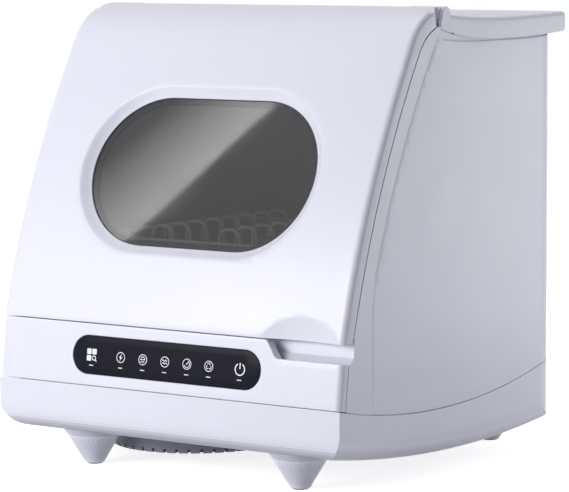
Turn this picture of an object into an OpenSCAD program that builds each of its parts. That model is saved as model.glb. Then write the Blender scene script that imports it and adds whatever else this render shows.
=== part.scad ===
// Countertop dishwasher with a curved door that swings up about a hinge along its top rear edge.
// Millimetres, +Z up, front towards -Y. The origin is on the floor, under the middle of the body.

/* [Body] */
// Width across the side panels
body_w = 420; // [408:1:440]
// Depth from the foot of the fascia to the rear edge of the top cover
body_d = 420; // [414:1:436]
// Height from the floor to the top of the hinge knuckles
body_h = 464; // [460:1:476]
// Wall of the moulded casings
wall = 2.5; // [2:0.1:3]
// Gap left between neighbouring casings
seam_gap = 0.5; // [0.3:0.1:0.8]
// Clearance between a fitted piece and its seat
fit_gap = 0.3; // [0.2:0.05:0.4]
// How far the top cover reaches out behind the rear panel
cover_overhang = 9.6; // [8:0.1:11]
// Radius of the cabinet's rear corners, seen from above
rear_corner_r = 45; // [38:1:50]

/* [Front curve] */
// Height of the seam between the fascia and the door
seam_z = 151; // [149:1:153]
// Lean of the flat fascia from the vertical, in degrees
fascia_lean = 6.9; // [6:0.1:8]
// Radius of the short turn at the foot of the door
foot_turn_r = 60; // [45:1:80]
// Lean of the door where its long curve starts, in degrees
curve_lean = 14.4; // [14:0.1:15]
// Lean of the door where its long curve ends, in degrees
crown_lean = 31.9; // [31.5:0.1:32.5]
// Radius of the crown, where the door turns over onto the top
crown_r = 69; // [67:1:71]

/* [Base tray] */
// Height of the belly's lowest line over the floor
belly_z = 20.5; // [19:0.5:24]
// Radius of the belly's long curve from front to back
belly_r = 1400; // [1300:10:1500]
// Place of the belly's lowest line
belly_y = 30; // [22:1:38]
// Lowest height of the tray's rim
rim_z = 69.1; // [67:0.1:71]
// Radius of the rim's long curve from front to back
rim_r = 835; // [800:5:880]
// Place of the rim's lowest point
rim_y = -31; // [-36:1:-26]
// Radius between the front face and the belly
chin_r = 22; // [16:1:26]
// Radius between the rear face and the belly
heel_r = 36; // [28:1:40]
// Radius between the sides and the belly
flank_r = 24; // [18:1:28]
// Distance of the legs from the middle plane
leg_x = 128.5; // [124:0.5:132]
// Distance of the front legs from the front face
leg_front_in = 51; // [48:1:56]
// Distance of the rear legs from the rear panel
leg_rear_in = 11; // [11:0.5:16]
// Radius at a leg's tip
leg_tip_r = 11; // [10.5:0.5:12]
// Radius of a leg where it starts to flare
leg_neck_r = 27.5; // [25:0.5:29]
// Radius of a leg's flare at the belly
leg_flare_r = 33; // [33:0.5:35]
// Radius of a rubber foot pad
pad_r = 8; // [6:0.5:9]
// Thickness of a rubber foot pad
pad_h = 3; // [2.5:0.5:4]
// Radius of the vent housing under the belly
vent_r = 90; // [80:1:92]
// Place of the vent housing from side to side
vent_x = -86; // [-92:1:-80]
// Place of the vent housing from front to back
vent_y = -44; // [-48:1:-38]
// Height of the vent housing's face over the floor
vent_z = 12; // [9:0.5:13]
// Number of slots round the vent housing
vent_slots = 44; // [36:2:54]

/* [Fascia] */
// Depth of the fascia's edge
fascia_depth = 10; // [9:0.5:11]
// Width of the touch panel
touch_w = 232; // [210:1:236]
// Height of the touch panel
touch_h = 38.5; // [34:0.5:40]
// Height of the touch panel's middle over the floor
touch_z = 119.3; // [118:0.1:121]
// Thickness of the touch panel
touch_t = 1.7; // [1.5:0.1:1.9]
// Number of touch keys
key_count = 7; // [5:1:8]
// Where the finger pocket starts, from the middle plane
pocket_x = 118; // [118:1:124]
// Run of the pocket's S-shaped end wall
pocket_run = 14; // [10:1:16]
// Height of the finger pocket
pocket_h = 18.5; // [17:0.5:20]
// Depth of the finger pocket at its top
pocket_depth = 18; // [17:0.5:20]

/* [Door] */
// Thickness of the door
door_t = 15.5; // [15:0.1:16]
// Thickness of the door's outer skin
skin_t = 3; // [2.6:0.1:3.4]
// Gap between the closed door and the front frame
door_gap = 1; // [0.8:0.1:1.4]
// Length of the window
window_w = 274; // [266:1:278]
// Height of the window along the slope, whose ends are half circles
window_h = 158; // [158:1:162]
// Lean of the window from the vertical, in degrees
window_lean = 23.5; // [23.2:0.1:23.8]
// Thickness of the two panes
pane_t = 2.4; // [2:0.1:2.4]
// Width of the bezel that steps down to the window
bezel_w = 10; // [8:0.5:11]
// Depth of the outer pane's face behind the door's face
bezel_depth = 8.6; // [8:0.1:8.8]
// Radius of the thumb scoop's outline
scoop_r = 43; // [36:1:45]
// Depth of the thumb scoop
scoop_depth = 11; // [9:0.5:11.5]
// Place of the thumb scoop from the middle plane
scoop_x = 159; // [157:1:161]

/* [Hinge] */
// Radius of the hinge knuckles
knuckle_r = 7.5; // [7:0.25:8]
// Length of a hinge knuckle
knuckle_len = 37; // [30:1:38]
// Radius of a hinge pin
pin_r = 3; // [2.5:0.1:3.2]
// Thickness of a hinge arm
arm_t = 5; // [4:0.5:6]

/* [Tub and mouth] */
// Sheet thickness of the tub
tub_t = 1.5; // [1:0.1:2]
// Space between the tub and a side panel's face
side_space = 53.5; // [50:0.5:58]
// Space between the tub and the rear panel's face
rear_space = 50.5; // [50:0.5:53]
// Height of the tub's floor
tub_floor_z = 130; // [128:0.5:134]
// Space between the tub and the knuckles' top
tub_headroom = 47.5; // [46:0.5:52]
// Step from each side wall of the tub to the loading mouth
mouth_step = 3; // [1:0.5:6]
// Height of the loading mouth along the slope
mouth_h = 262; // [254:1:263]
// Corner radius of the loading mouth
mouth_r = 20; // [16:1:24]
// Lean of the loading mouth from the vertical, in degrees
mouth_lean = 22.4; // [22.3:0.1:22.6]
// Width of the door seal's lip
seal_w = 5; // [4:0.5:6]

/* [Rack] */
// Space between the dish rack and each side wall of the tub
rack_gap = 18; // [15:0.5:24]
// Depth of the dish rack
rack_d = 246; // [220:1:250]
// Height of the rack's floor wires
rack_z = 186; // [184:1:190]
// Height of the rack's rim over its floor
rack_rim_h = 46; // [40:1:52]
// Radius of the rack's wires
wire_r = 1.8; // [1.5:0.1:2.1]
// Height of the plate loops over the rack's floor
loop_h = 58; // [50:1:66]
// Number of plate loops in a row
loop_count = 8; // [6:1:9]
// Height of the cutlery basket
basket_h = 52; // [44:1:60]
// Width of the cutlery basket
basket_w = 56; // [50:1:58]

/* [Spray arms] */
// Reach of the lower spray arm
lower_reach = 136; // [120:1:140]
// Reach of the upper spray arm
upper_reach = 98; // [90:1:102]
// Width of a spray arm
spray_w = 26; // [22:1:30]
// Height of a spray arm
spray_t = 9; // [8:0.5:10]
// Radius of the tube that a spray arm turns on
spray_tube_r = 9; // [8:0.5:10]
// Running clearance of turning parts
run_gap = 0.08; // [0.05:0.01:0.1]

/* [Pumps and pipes] */
// Radius of the sump bowl
sump_r = 42; // [40:1:45]
// Height of the wash pump's axis
pump_z = 82; // [79:1:84]
// Radius of the wash pump's volute
volute_r = 33; // [30:1:34]
// Radius of the wash motor
motor_r = 28; // [25:1:30]
// Length of the wash motor
motor_len = 70; // [60:1:74]
// Radius of the water pipes
pipe_r = 8; // [7:0.5:9]
// Radius of the flow heater
heater_r = 15; // [13:0.5:17]
// Radius of the drain pump
drain_r = 19; // [17:0.5:21]
// Radius of the drying fan's wheel
fan_r = 31; // [26:1:34]

/* [Rear fittings] */
// Outside radius of the water inlet's thread
inlet_r = 13.2; // [12.8:0.1:13.6]
// Outside radius of the drain spigot
spigot_r = 9; // [8:0.25:10]
// Radius of the hole in the cord gland
gland_bore_r = 4.2; // [3.5:0.1:5]
// Depth of the bay that the fittings stand in
bay_depth = 14; // [12:1:15]
// Height of the fittings over the floor
fitting_z = 97; // [95:0.5:99]

/* [Hidden] */
$fn = 48;
fine_fn = 360;
casing = [0.93, 0.93, 0.96];
shade = [0.8, 0.81, 0.85];
steel = [0.7, 0.71, 0.73];
black = [0.13, 0.14, 0.17];
grey = [0.5, 0.51, 0.54];
far = 400;
// Main lines of the body
half_w = body_w/2;
front_y = -body_d/2;
back_y = body_d/2;
rear_y = back_y - cover_overhang;
axis_z = body_h - knuckle_r;
door_top_z = body_h - 2;

// The front's outline is a straight fascia and three arcs that run into each other.
function out(lean) = [-cos(lean), sin(lean)];
function up(lean) = [sin(lean), cos(lean)];
low_run = 150;
fascia_rise = seam_z - (rim_z + rim_r - sqrt(rim_r*rim_r - pow(front_y - rim_y, 2)));
seam_pt = [front_y + fascia_rise*tan(fascia_lean), seam_z];
turn_c = seam_pt - foot_turn_r*out(fascia_lean);
curve_start = turn_c + foot_turn_r*out(curve_lean);
curve_r = (door_top_z - curve_start[1] - crown_r*(1 - sin(crown_lean)))
    /(sin(crown_lean) - sin(curve_lean));
curve_c = curve_start - curve_r*out(curve_lean);
crown_c = curve_c + (curve_r - crown_r)*out(crown_lean);
axis_y = crown_c[0] + 2.5;
function turn(c, r, a0, a1, n) = [for (i = [1:n]) c + r*out(a0 + (a1 - a0)*i/n)];
// A line that lies a depth o behind the front's outline, from below the tray's rim up to the crown
function front_line(o) = concat(
    [seam_pt - low_run*up(fascia_lean) - o*out(fascia_lean), seam_pt - o*out(fascia_lean)],
    turn(turn_c, foot_turn_r - o, fascia_lean, curve_lean, 3),
    turn(curve_c, curve_r - o, curve_lean, crown_lean, 10),
    turn(crown_c, crown_r - o, crown_lean, 90, 10));
function on_curve(lean, o) = curve_c + (curve_r - o)*out(lean);
function on_fascia(z, o) = seam_pt - (seam_z - z)/cos(fascia_lean)*up(fascia_lean) - o*out(fascia_lean);

// Heights of the long curves at a place y
function arc_rise(r, d) = r - sqrt(r*r - d*d);
function rim_at(y) = rim_z + arc_rise(rim_r, y - rim_y);
cover_z = body_h - 12.5;
cover_edge = 21.5;
cover_low_z = cover_z - cover_edge;
panel_top_z = cover_low_z - 1.5;
cover_mid_y = rear_y - 116;
cover_low_y = cover_mid_y - 22;
panel_mid_y = cover_mid_y - 48;
cover_heel_y = cover_mid_y + 16;
// The cover's edges rise from the middle to the front and to the rear
function dish_rise(r0, y0, r1, y1, y) = arc_rise(r0, max(0, y0 - y)) + arc_rise(r1, max(0, y - y1));
function cover_top_at(y) = cover_z + dish_rise(1060, cover_mid_y, 2630, cover_mid_y, y);
function cover_low_at(y) = cover_low_z + dish_rise(390, cover_low_y, 1200, cover_heel_y, y);
function panel_top_at(y) = panel_top_z + dish_rise(720, panel_mid_y, 1200, cover_heel_y, y);
cover_front_y = axis_y + knuckle_r + fit_gap;

// Places of the tub and of what stands in it
tub_half = half_w - side_space;
tub_in_w = 2*(tub_half - tub_t);
mouth_w = tub_in_w - 2*mouth_step;
rack_w = tub_in_w - 2*rack_gap;
tub_back_y = rear_y - rear_space;
tub_low_z = tub_floor_z - tub_t;
tub_high_z = body_h - tub_headroom;
tub_step_y = front_y + 36;
tub_step_z = seam_z + 6;
frame_o = door_t + door_gap;
low_frame_o = fascia_depth + 1;
flange_o = frame_o + wall + fit_gap;
lower_arm_y = 5;
upper_arm_y = 35;
sump_at = [60, -75];
drain_x = 118;
inlet_x = -135;
gland_x = -60;
bay_y = rear_y - bay_depth;
fan_at = [95, 340];
riser_y = tub_back_y + pipe_r + 10;

// Helpers
module along_x(w) {
    rotate([90, 0, 90]) linear_extrude(w, center = true) children();
}

module span_x(x0, x1) {
    translate([(x0 + x1)/2, 0, 0]) along_x(x1 - x0) children();
}

module rod_x(x0, x1, y, z, r) {
    translate([x0, y, z]) rotate([0, 90, 0]) cylinder(r = r, h = x1 - x0);
}

module rod_y(y0, y1, x, z, r) {
    translate([x, y1, z]) rotate([90, 0, 0]) cylinder(r = r, h = y1 - y0);
}

module rod_z(z0, z1, x, y, r) {
    translate([x, y, z0]) cylinder(r = r, h = z1 - z0);
}

module box(low, high) {
    translate(low) cube(high - low);
}

// A pipe that runs straight from point to point with a round elbow at each
module pipe_run(pts, r) {
    for (i = [0:len(pts) - 2]) pipe_leg(pts[i], pts[i + 1], r);
    for (i = [1:len(pts) - 2]) translate(pts[i]) sphere(r = r);
}

module pipe_leg(a, b, r) {
    d = b - a;
    translate(a) rotate([0, acos(d[2]/norm(d)), atan2(d[1], d[0])]) cylinder(r = r, h = norm(d));
}

module slice(y0, z0, y1, z1) {
    translate([y0, z0]) square([y1 - y0, z1 - z0]);
}

module rounded(w, h, r) {
    square([w - 2*r, h], center = true);
    square([w, h - 2*r], center = true);
    for (x = [-1, 1], y = [-1, 1]) translate([x*(w/2 - r), y*(h/2 - r)]) circle(r = r);
}

module behind(o) {
    polygon(concat(front_line(o), [[far, door_top_z - o], [far, seam_z - low_run]]));
}

module band(o0, o1) {
    difference() {
        behind(o0);
        behind(o1);
    }
}

module above_rim(gap) {
    ys = [for (y = [front_y - 4:16:back_y + 12]) y];
    polygon(concat([for (y = ys) [y, rim_at(y) + gap]], [[back_y + 12, 600], [front_y - 4, 600]]));
}

module plan(o) {
    cut = rear_corner_r - o;
    translate([-half_w + o, front_y + o]) square([body_w - 2*o, rear_y - front_y - o - rear_corner_r]);
    translate([-half_w + rear_corner_r, 0]) square([body_w - 2*rear_corner_r, rear_y - o]);
    for (x = [-1, 1]) translate([x*(half_w - rear_corner_r), rear_y - rear_corner_r])
        circle(r = cut, $fn = 96);
}

module plan_ring(o0, o1) {
    difference() {
        plan(o0);
        plan(o1);
    }
}

// Turns what is drawn on a flat sheet to lie on the sloping front, facing out
module on_window(o) {
    p = on_curve(window_lean, o);
    translate([0, p[0], p[1]]) rotate([90 - window_lean, 0, 0]) children();
}

module window_block(grow) {
    run = window_w - window_h;
    on_window(0) linear_extrude(80, center = true) {
        square([run, window_h + 2*grow], center = true);
        for (x = [-run/2, run/2]) translate([x, 0]) circle(r = window_h/2 + grow, $fn = fine_fn/3);
    }
}

module window_ring(o0, o1, grow0, grow1) {
    difference() {
        intersection() {
            along_x(body_w) band(o0, o1);
            window_block(grow0);
        }
        window_block(grow1);
    }
}

module mouth_block(grow) {
    p = on_curve(mouth_lean, frame_o);
    translate([0, p[0], p[1]]) rotate([90 - mouth_lean, 0, 0]) linear_extrude(90, center = true)
        rounded(mouth_w + 2*grow, mouth_h + 2*grow, mouth_r + grow);
}

// The base tray: a swept belly, cut to the body's outline from the side and from above
module tray_solid(o) {
    intersection() {
        translate([0, belly_y, belly_z + belly_r]) rotate([0, 90, 0])
            rotate_extrude($fn = fine_fn) belly_section(o);
        along_x(body_w) tray_side(o);
        linear_extrude(2*far, center = true) plan(o);
    }
}

module belly_section(o) {
    depth = 150;
    translate([belly_r - depth, -half_w + o]) square([depth - flank_r, body_w - 2*o]);
    translate([belly_r - depth, -half_w + flank_r]) square([depth - o, body_w - 2*flank_r]);
    for (y = [-1, 1]) translate([belly_r - flank_r, y*(half_w - flank_r)]) circle(r = flank_r - o);
}

function belly_corner(y, r) = [y, belly_z + belly_r - sqrt(pow(belly_r - r, 2) - pow(y - belly_y, 2))];
module tray_side(o) {
    chin = belly_corner(front_y + chin_r, chin_r);
    heel = belly_corner(rear_y - heel_r, heel_r);
    chin_end = atan2(belly_z + belly_r - chin[1], belly_y - chin[0]);
    heel_end = atan2(belly_z + belly_r - heel[1], heel[0] - belly_y);
    polygon(concat([[front_y + o, 150]],
        [for (i = [0:8]) chin + (chin_r - o)*[-cos(chin_end*i/8), -sin(chin_end*i/8)]],
        [[belly_y, belly_z - 24 + o]],
        [for (i = [8:-1:0]) heel + (heel_r - o)*[cos(heel_end*i/8), -sin(heel_end*i/8)]],
        [[rear_y - o, 150]]));
}

leg_ys = [front_y + leg_front_in, rear_y - leg_rear_in];
leg_floor = 1;
neck_z = belly_z + 10.5;
flare_z = belly_z + 17.5;
module leg_outline(o) {
    tip = 2.5;
    polygon([[0, leg_floor + o], [leg_tip_r - tip - o/2, leg_floor + o],
        [leg_tip_r - o, leg_floor + tip + o/2], [leg_neck_r - o, neck_z],
        [leg_neck_r + 3.5 - o, neck_z + 4.5], [leg_flare_r - o, flare_z],
        [leg_neck_r - 2 - o, flare_z + 24], [0, flare_z + 24]]);
}

module at_legs() {
    for (x = [-leg_x, leg_x], y = leg_ys) translate([x, y, 0]) children();
}

tower_at = [tub_half - 12, tub_back_y - 27];
tower_front_y = front_y + 88;
tower_r = 8;
screw_r = 2;
head_r = 4.2;
head_h = 3;
head_z = belly_z + 12;
intake_r = 34;
intake_shift = vent_r - intake_r - 20;
module at_towers() {
    for (x = [-tower_at[0], tower_at[0]], y = [tower_front_y, tower_at[1]]) translate([x, y, 0]) children();
}

module base_tray() {
    lip_h = 6;
    color(casing) difference() {
        union() {
            difference() {
                tray_solid(0);
                tray_solid(wall);
                along_x(body_w + 1) above_rim(0);
            }
            intersection() {
                at_legs() rotate_extrude() leg_outline(0);
                linear_extrude(far) plan(0);
                leg_room();
            }
            intersection() {
                at_towers() cylinder(r = tower_r, h = tub_low_z);
                union() {
                    tray_solid(wall/2);
                    translate([0, 0, rim_z - 9]) linear_extrude(far) plan(wall);
                }
            }
            intersection() {
                linear_extrude(far) plan_ring(wall + fit_gap, 2*wall);
                along_x(body_w) lip_line(-8, lip_h);
            }
            intersection() {
                linear_extrude(far) plan_ring(wall/2, 2*wall);
                along_x(body_w) lip_line(-8, -1);
            }
        }
        at_legs() rotate_extrude() leg_outline(wall);
        at_legs() cylinder(r = pad_r + fit_gap/2, h = pad_h);
        at_towers() cylinder(r = screw_r + 0.2, h = head_z + 24);
        at_towers() cylinder(r = head_r + fit_gap, h = head_z);
        rod_z(0, 60, vent_x, vent_y + intake_shift, intake_r);
        bay_block(wall + seam_gap, 60);
    }
}

// The legs end at the tray's inner face
module leg_room() {
    difference() {
        box([-half_w, front_y, 0], [half_w, back_y, flare_z + 30]);
        tray_solid(wall);
    }
}

module lip_line(low, high) {
    ys = [for (y = [front_y + 26:16:rear_y + 12]) y];
    polygon(concat([for (y = ys) [y, rim_at(y) + low]],
        [for (i = [len(ys) - 1:-1:0]) [ys[i], rim_at(ys[i]) + high]]));
}

module foot_pads() {
    color(black) at_legs() cylinder(r = pad_r, h = pad_h);
}

module vent_housing() {
    rim_slope = 3;
    slot_w = 3.2;
    color(shade) difference() {
        union() {
            translate([vent_x, vent_y, vent_z]) cylinder(r1 = vent_r - rim_slope, r2 = vent_r, h = rim_slope);
            rod_z(vent_z + rim_slope, belly_z + 16, vent_x, vent_y, vent_r);
        }
        rod_z(vent_z + 2, far, vent_x, vent_y, vent_r - rim_slope - 2);
        tray_solid(-fit_gap);
        translate([vent_x, vent_y, 0]) for (i = [0:vent_slots - 1]) rotate([0, 0, 360*i/vent_slots])
            translate([vent_r - 10, -slot_w/2, vent_z - 1]) cube([16, slot_w, 5.5]);
        translate([vent_x, vent_y, 0]) for (i = [0:vent_slots/2 - 1]) rotate([0, 0, 720*i/vent_slots])
            translate([0.4*vent_r, -slot_w/2, vent_z - 1]) cube([0.35*vent_r, slot_w, 4]);
    }
}

// The front frame: a plate behind the door, a deeper set plate behind the fascia, and two cheeks
band_depth = 34.5;
side_front_y = front_y + 55.2;
band_end_z = axis_z - 14.5;
band_end_y = axis_y - 10.5;
function pocket_path(o) = [on_fascia(seam_z - pocket_h - 2, low_frame_o + o),
    on_fascia(seam_z - 12, pocket_depth + o), on_fascia(seam_z + 4, pocket_depth + o),
    on_fascia(seam_z + 7, frame_o + o)];
function step_path(o) = [on_fascia(seam_z - 1.5 - o, low_frame_o + o),
    on_fascia(seam_z - 1 - o, frame_o + o)];
function frame_path(o, pocket) = concat(
    [on_fascia(seam_z - low_run, low_frame_o + o)], pocket ? pocket_path(o) : step_path(o),
    [for (p = turn(turn_c, foot_turn_r - frame_o - o, fascia_lean, curve_lean, 3))
        if (p[1] > seam_z + (pocket ? 7.5 : 0)) p],
    turn(curve_c, curve_r - frame_o - o, curve_lean, crown_lean, 10),
    turn(crown_c, crown_r - frame_o - o, crown_lean, 90, 10));
module frame_body(o, pocket) {
    polygon(concat(frame_path(o, pocket), [[far, door_top_z - frame_o - o], [far, seam_z - low_run]]));
}

// The line where the frame's cheek meets the side panel
function side_line(o) = concat([[side_front_y + o, 0]],
    [for (a = [curve_lean:2:crown_lean + 1]) let (p = curve_c + (curve_r - band_depth - o)*out(a))
        [max(p[0], side_front_y + o), p[1]]],
    [[band_end_y, band_end_z - 1.3*o]]);
module behind_side(o) {
    polygon(concat(side_line(o), [[far, band_end_z - 1.3*o], [far, 0]]));
}

module front_frame() {
    shelf_y = cover_front_y - seam_gap;
    color(casing) difference() {
        union() {
            for (x = [-1, 1]) frame_cheek(x);
            frame_plate(-half_w + wall/2, pocket_x, false);
            frame_plate(pocket_x - wall, half_w - wall/2, true);
            span_x(pocket_x - wall, pocket_x) pocket_end();
            along_x(body_w - 4*wall - 4*fit_gap) intersection() {
                slice(axis_y - 20, door_top_z - frame_o - wall, shelf_y, door_top_z - frame_o);
                frame_body(0, false);
            }
        }
        mouth_block(0);
        along_x(body_w + 1) difference() {
            slice(-far, 0, far, tub_floor_z - 10);
            above_rim(seam_gap);
        }
    }
}

module frame_cheek(side) {
    span_x(min(side*half_w, side*(half_w - wall)), max(side*half_w, side*(half_w - wall))) difference() {
        intersection() {
            frame_body(0, side > 0);
            slice(-far, 0, band_end_y, far*2);
        }
        behind_side(0);
    }
}

module frame_plate(x0, x1, pocket) {
    span_x(x0, x1) intersection() {
        difference() {
            frame_body(0, pocket);
            frame_body(wall, pocket);
        }
        slice(-far, 0, band_end_y, far*2);
    }
}

module pocket_end() {
    intersection() {
        difference() {
            frame_body(0, false);
            frame_body(wall, true);
        }
        slice(-far, seam_z - pocket_h - 6, axis_y, seam_z + 8);
    }
}

// Cabinet panels
module side_wrap(side) {
    lip_top = 14;
    flange_y = rear_y - wall - fit_gap;
    seam_x = half_w - rear_corner_r + fit_gap;
    color(casing) mirror([side > 0 ? 0 : 1, 0, 0]) difference() {
        union() {
            intersection() {
                box([seam_x, front_y, 0], [half_w + 1, back_y, body_h]);
                union() {
                    intersection() {
                        linear_extrude(body_h) plan_ring(0, wall);
                        along_x(body_w) panel_side(seam_gap, 0);
                    }
                    intersection() {
                        linear_extrude(body_h) plan_ring(wall/2, 2*wall);
                        along_x(body_w) panel_lip(-10, -1);
                    }
                    intersection() {
                        linear_extrude(body_h) plan_ring(wall + fit_gap, 2*wall);
                        along_x(body_w) panel_lip(-10, lip_top);
                    }
                }
            }
            intersection() {
                union() {
                    box([seam_x - 14, flange_y - wall, 0], [seam_x + 4, flange_y, body_h]);
                    box([seam_x, flange_y - wall, 0], [seam_x + 4, rear_y - wall/2, body_h]);
                }
                along_x(body_w) panel_side(12, 12);
            }
        }
        at_rear_screws() rod_y(rear_y - 9, rear_y, 0, 0, screw_r + 0.1);
        bay_block(wall + fit_gap, 0);
    }
}

module panel_side(low, high) {
    ys = [for (y = [band_end_y:15:rear_y + 15]) y];
    intersection() {
        behind_side(fit_gap);
        above_rim(low);
        polygon(concat([[front_y, 0], [front_y, panel_top_at(band_end_y)]],
            [for (y = ys) [y, panel_top_at(y) - high]], [[rear_y + 15, 0]]));
    }
}

module panel_lip(low, high) {
    y0 = cover_front_y + cheek_foot + fit_gap;
    ys = [for (y = [y0:15:rear_y + 15]) y];
    polygon(concat([for (y = ys) [y, panel_top_z + low]],
        [for (i = [len(ys) - 1:-1:0]) [ys[i], min(cover_top_at(ys[i]) - 10, panel_top_at(ys[i]) + high)]]));
}

module left_panel() {
    side_wrap(-1);
}

module right_panel() {
    side_wrap(1);
}

bay_low = 78;
bay_high = 116;
bay_half = 156;
rear_half = half_w - rear_corner_r - fit_gap;
function slot_rows(n, pitch) = [for (i = [0:n - 1]) (i - (n - 1)/2)*pitch];
module rear_panel() {
    top = panel_top_at(rear_y);
    low = rim_at(rear_y) + seam_gap;
    slot_w = 3;
    color(casing) difference() {
        union() {
            box([-rear_half, rear_y - wall, low], [rear_half, rear_y, top]);
            box([-rear_half, rear_y - 2*wall, top - 10],
                [rear_half, rear_y - wall/2 - fit_gap, top + 12]);
            intersection() {
                bay_block(wall, 0);
                box([-half_w, 0, 0], [half_w, rear_y, body_h]);
            }
        }
        box([-rear_half - 1, rear_y - wall - fit_gap, top], [rear_half + 1, back_y, top + 30]);
        bay_block(0, 0);
        rod_y(0, back_y, inlet_x, fitting_z, inlet_r + fit_gap);
        rod_y(0, back_y, drain_x, fitting_z, spigot_r + fit_gap);
        rod_y(0, back_y, gland_x, fitting_z, gland_bore_r + 3 + fit_gap);
        for (z = slot_rows(9, 7)) box([fan_at[0] - fan_r + 5, rear_y - 9, fan_at[1] + z - slot_w/2],
            [fan_at[0] + fan_r - 5, back_y, fan_at[1] + z + slot_w/2]);
        at_rear_screws() rod_y(0, back_y, 0, 0, screw_r + 0.2);
    }
}

module bay_block(grow, rise) {
    box([-bay_half - grow, bay_y - grow, bay_low - grow], [bay_half + grow, back_y, bay_high + grow + rise]);
}

module at_rear_screws() {
    low = bay_high + 19;
    high = panel_top_z - 23.5;
    for (x = [-1, 1], z = [low, (low + high)/2, high]) translate([x*(rear_half - 7), 0, z]) children();
}

// Top cover: a shallow dished lid with a cheek in front of each hinge
module cover_line(inset, drop) {
    ys = [for (y = [cover_front_y + inset:14:back_y - 6 - inset]) y];
    polygon(concat([for (y = ys) [y, cover_top_at(y) - drop]],
        [[back_y - 3 - inset, cover_top_at(back_y) - drop], [back_y - inset, cover_top_at(back_y) - 3 - drop],
            [back_y - inset, cover_low_at(back_y)]],
        [for (i = [len(ys) - 1:-1:0]) [ys[i], cover_low_at(ys[i]) - (inset > 0 ? 5 : 0)]]));
}

module cover_plan(o) {
    r = 10;
    translate([-half_w + o, -60]) square([body_w - 2*o, back_y + 60 - r]);
    translate([-half_w + r, 0]) square([body_w - 2*r, back_y - o]);
    for (x = [-1, 1]) translate([x*(half_w - r), back_y - r]) circle(r = r - o);
}

cover_dish = 3;
module top_cover() {
    dish_in = 14;
    color(casing) difference() {
        union() {
            intersection() {
                along_x(body_w) cover_line(0, 0);
                linear_extrude(far*2) cover_plan(0);
            }
            for (x = [-1, 1]) translate([x*(half_w - 2), 0, 0]) along_x(4) cover_cheek();
        }
        intersection() {
            along_x(body_w) cover_line(wall, wall + cover_dish);
            linear_extrude(far*2) cover_plan(wall);
        }
        dish_cut(dish_in);
    }
}

module dish_cut(in) {
    ys = [for (y = [cover_front_y + in:14:back_y - in]) y];
    along_x(body_w - 2*in) polygon(concat([for (y = ys) [y, cover_top_at(y) - cover_dish]],
        [[ys[len(ys) - 1], body_h + 5], [ys[0], body_h + 5]]));
}

cheek_foot = 4;
module cover_cheek() {
    y0 = band_end_y + seam_gap;
    y1 = cover_front_y + cheek_foot;
    translate([axis_y, axis_z]) circle(r = knuckle_r);
    polygon([[y0, cover_low_at(y0)], [y0, axis_z - 7], [y0 + 1.5, axis_z - 5.5], [axis_y - 5.5, axis_z + 5],
        [axis_y, axis_z + knuckle_r], [axis_y + 2, axis_z + knuckle_r - 0.3], [y1, cover_top_at(y1)],
        [y1, cover_low_at(y1)]]);
}

// Fascia with the capsule-shaped touch panel, and the finger pocket's cut-out
function fascia_outline(in) = concat([[-half_w + in, 0], [-half_w + in, seam_z - seam_gap - in]],
    [for (i = [0:8]) let (t = i/8) [pocket_x - in + pocket_run*(1 - cos(180*t))/2,
        seam_z - seam_gap - in - (pocket_h - seam_gap)*t]],
    [[half_w - in, seam_z - pocket_h - in], [half_w - in, 0]]);
module fascia() {
    color(casing) difference() {
        intersection() {
            along_x(body_w) intersection() {
                band(0, fascia_depth);
                above_rim(seam_gap);
            }
            rotate([90, 0, 0]) linear_extrude(2*far, center = true) polygon(fascia_outline(0));
        }
        intersection() {
            along_x(body_w) intersection() {
                band(wall, fascia_depth + 1);
                above_rim(seam_gap + wall);
            }
            rotate([90, 0, 0]) linear_extrude(2*far, center = true) polygon(fascia_outline(wall));
        }
        on_touch(-1.5) linear_extrude(10) rounded(touch_w, touch_h, touch_h/2 - 0.1);
        for (i = slot_rows(key_count, key_pitch)) on_touch(-6) translate([i, 0, 0]) cylinder(r = 3.5, h = 6);
    }
}

key_pitch = 27;
module on_touch(rise) {
    p = on_fascia(touch_z, -rise);
    translate([0, p[0], p[1]]) rotate([90 - fascia_lean, 0, 0]) children();
}

module touch_panel() {
    color(black) on_touch(-1.5) linear_extrude(touch_t)
        rounded(touch_w - 2*fit_gap, touch_h - 2*fit_gap, touch_h/2 - 0.5);
}

module touch_board() {
    board_t = 1.6;
    color("darkgreen") on_touch(-wall - 1 - board_t) {
        linear_extrude(board_t) square([touch_w - 26, touch_h - 12], center = true);
        for (i = slot_rows(key_count, key_pitch)) translate([i, 0, 0])
            cylinder(r = 3, h = board_t + wall - 0.5);
        for (x = [-1, 1]) translate([x*(touch_w/2 - 20), 0, 0]) cylinder(r = 2.5, h = board_t + 1);
        translate([-8, -touch_h/2 + 7, -1.5]) cube([16, 6, 2]);
    }
}

// Tub
module tub_side(o) {
    difference() {
        intersection() {
            behind(flange_o + o);
            slice(-far, tub_low_z + o, tub_back_y - o, tub_high_z - o);
        }
        slice(-far, 0, tub_step_y + o, tub_step_z + o);
    }
}

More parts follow.
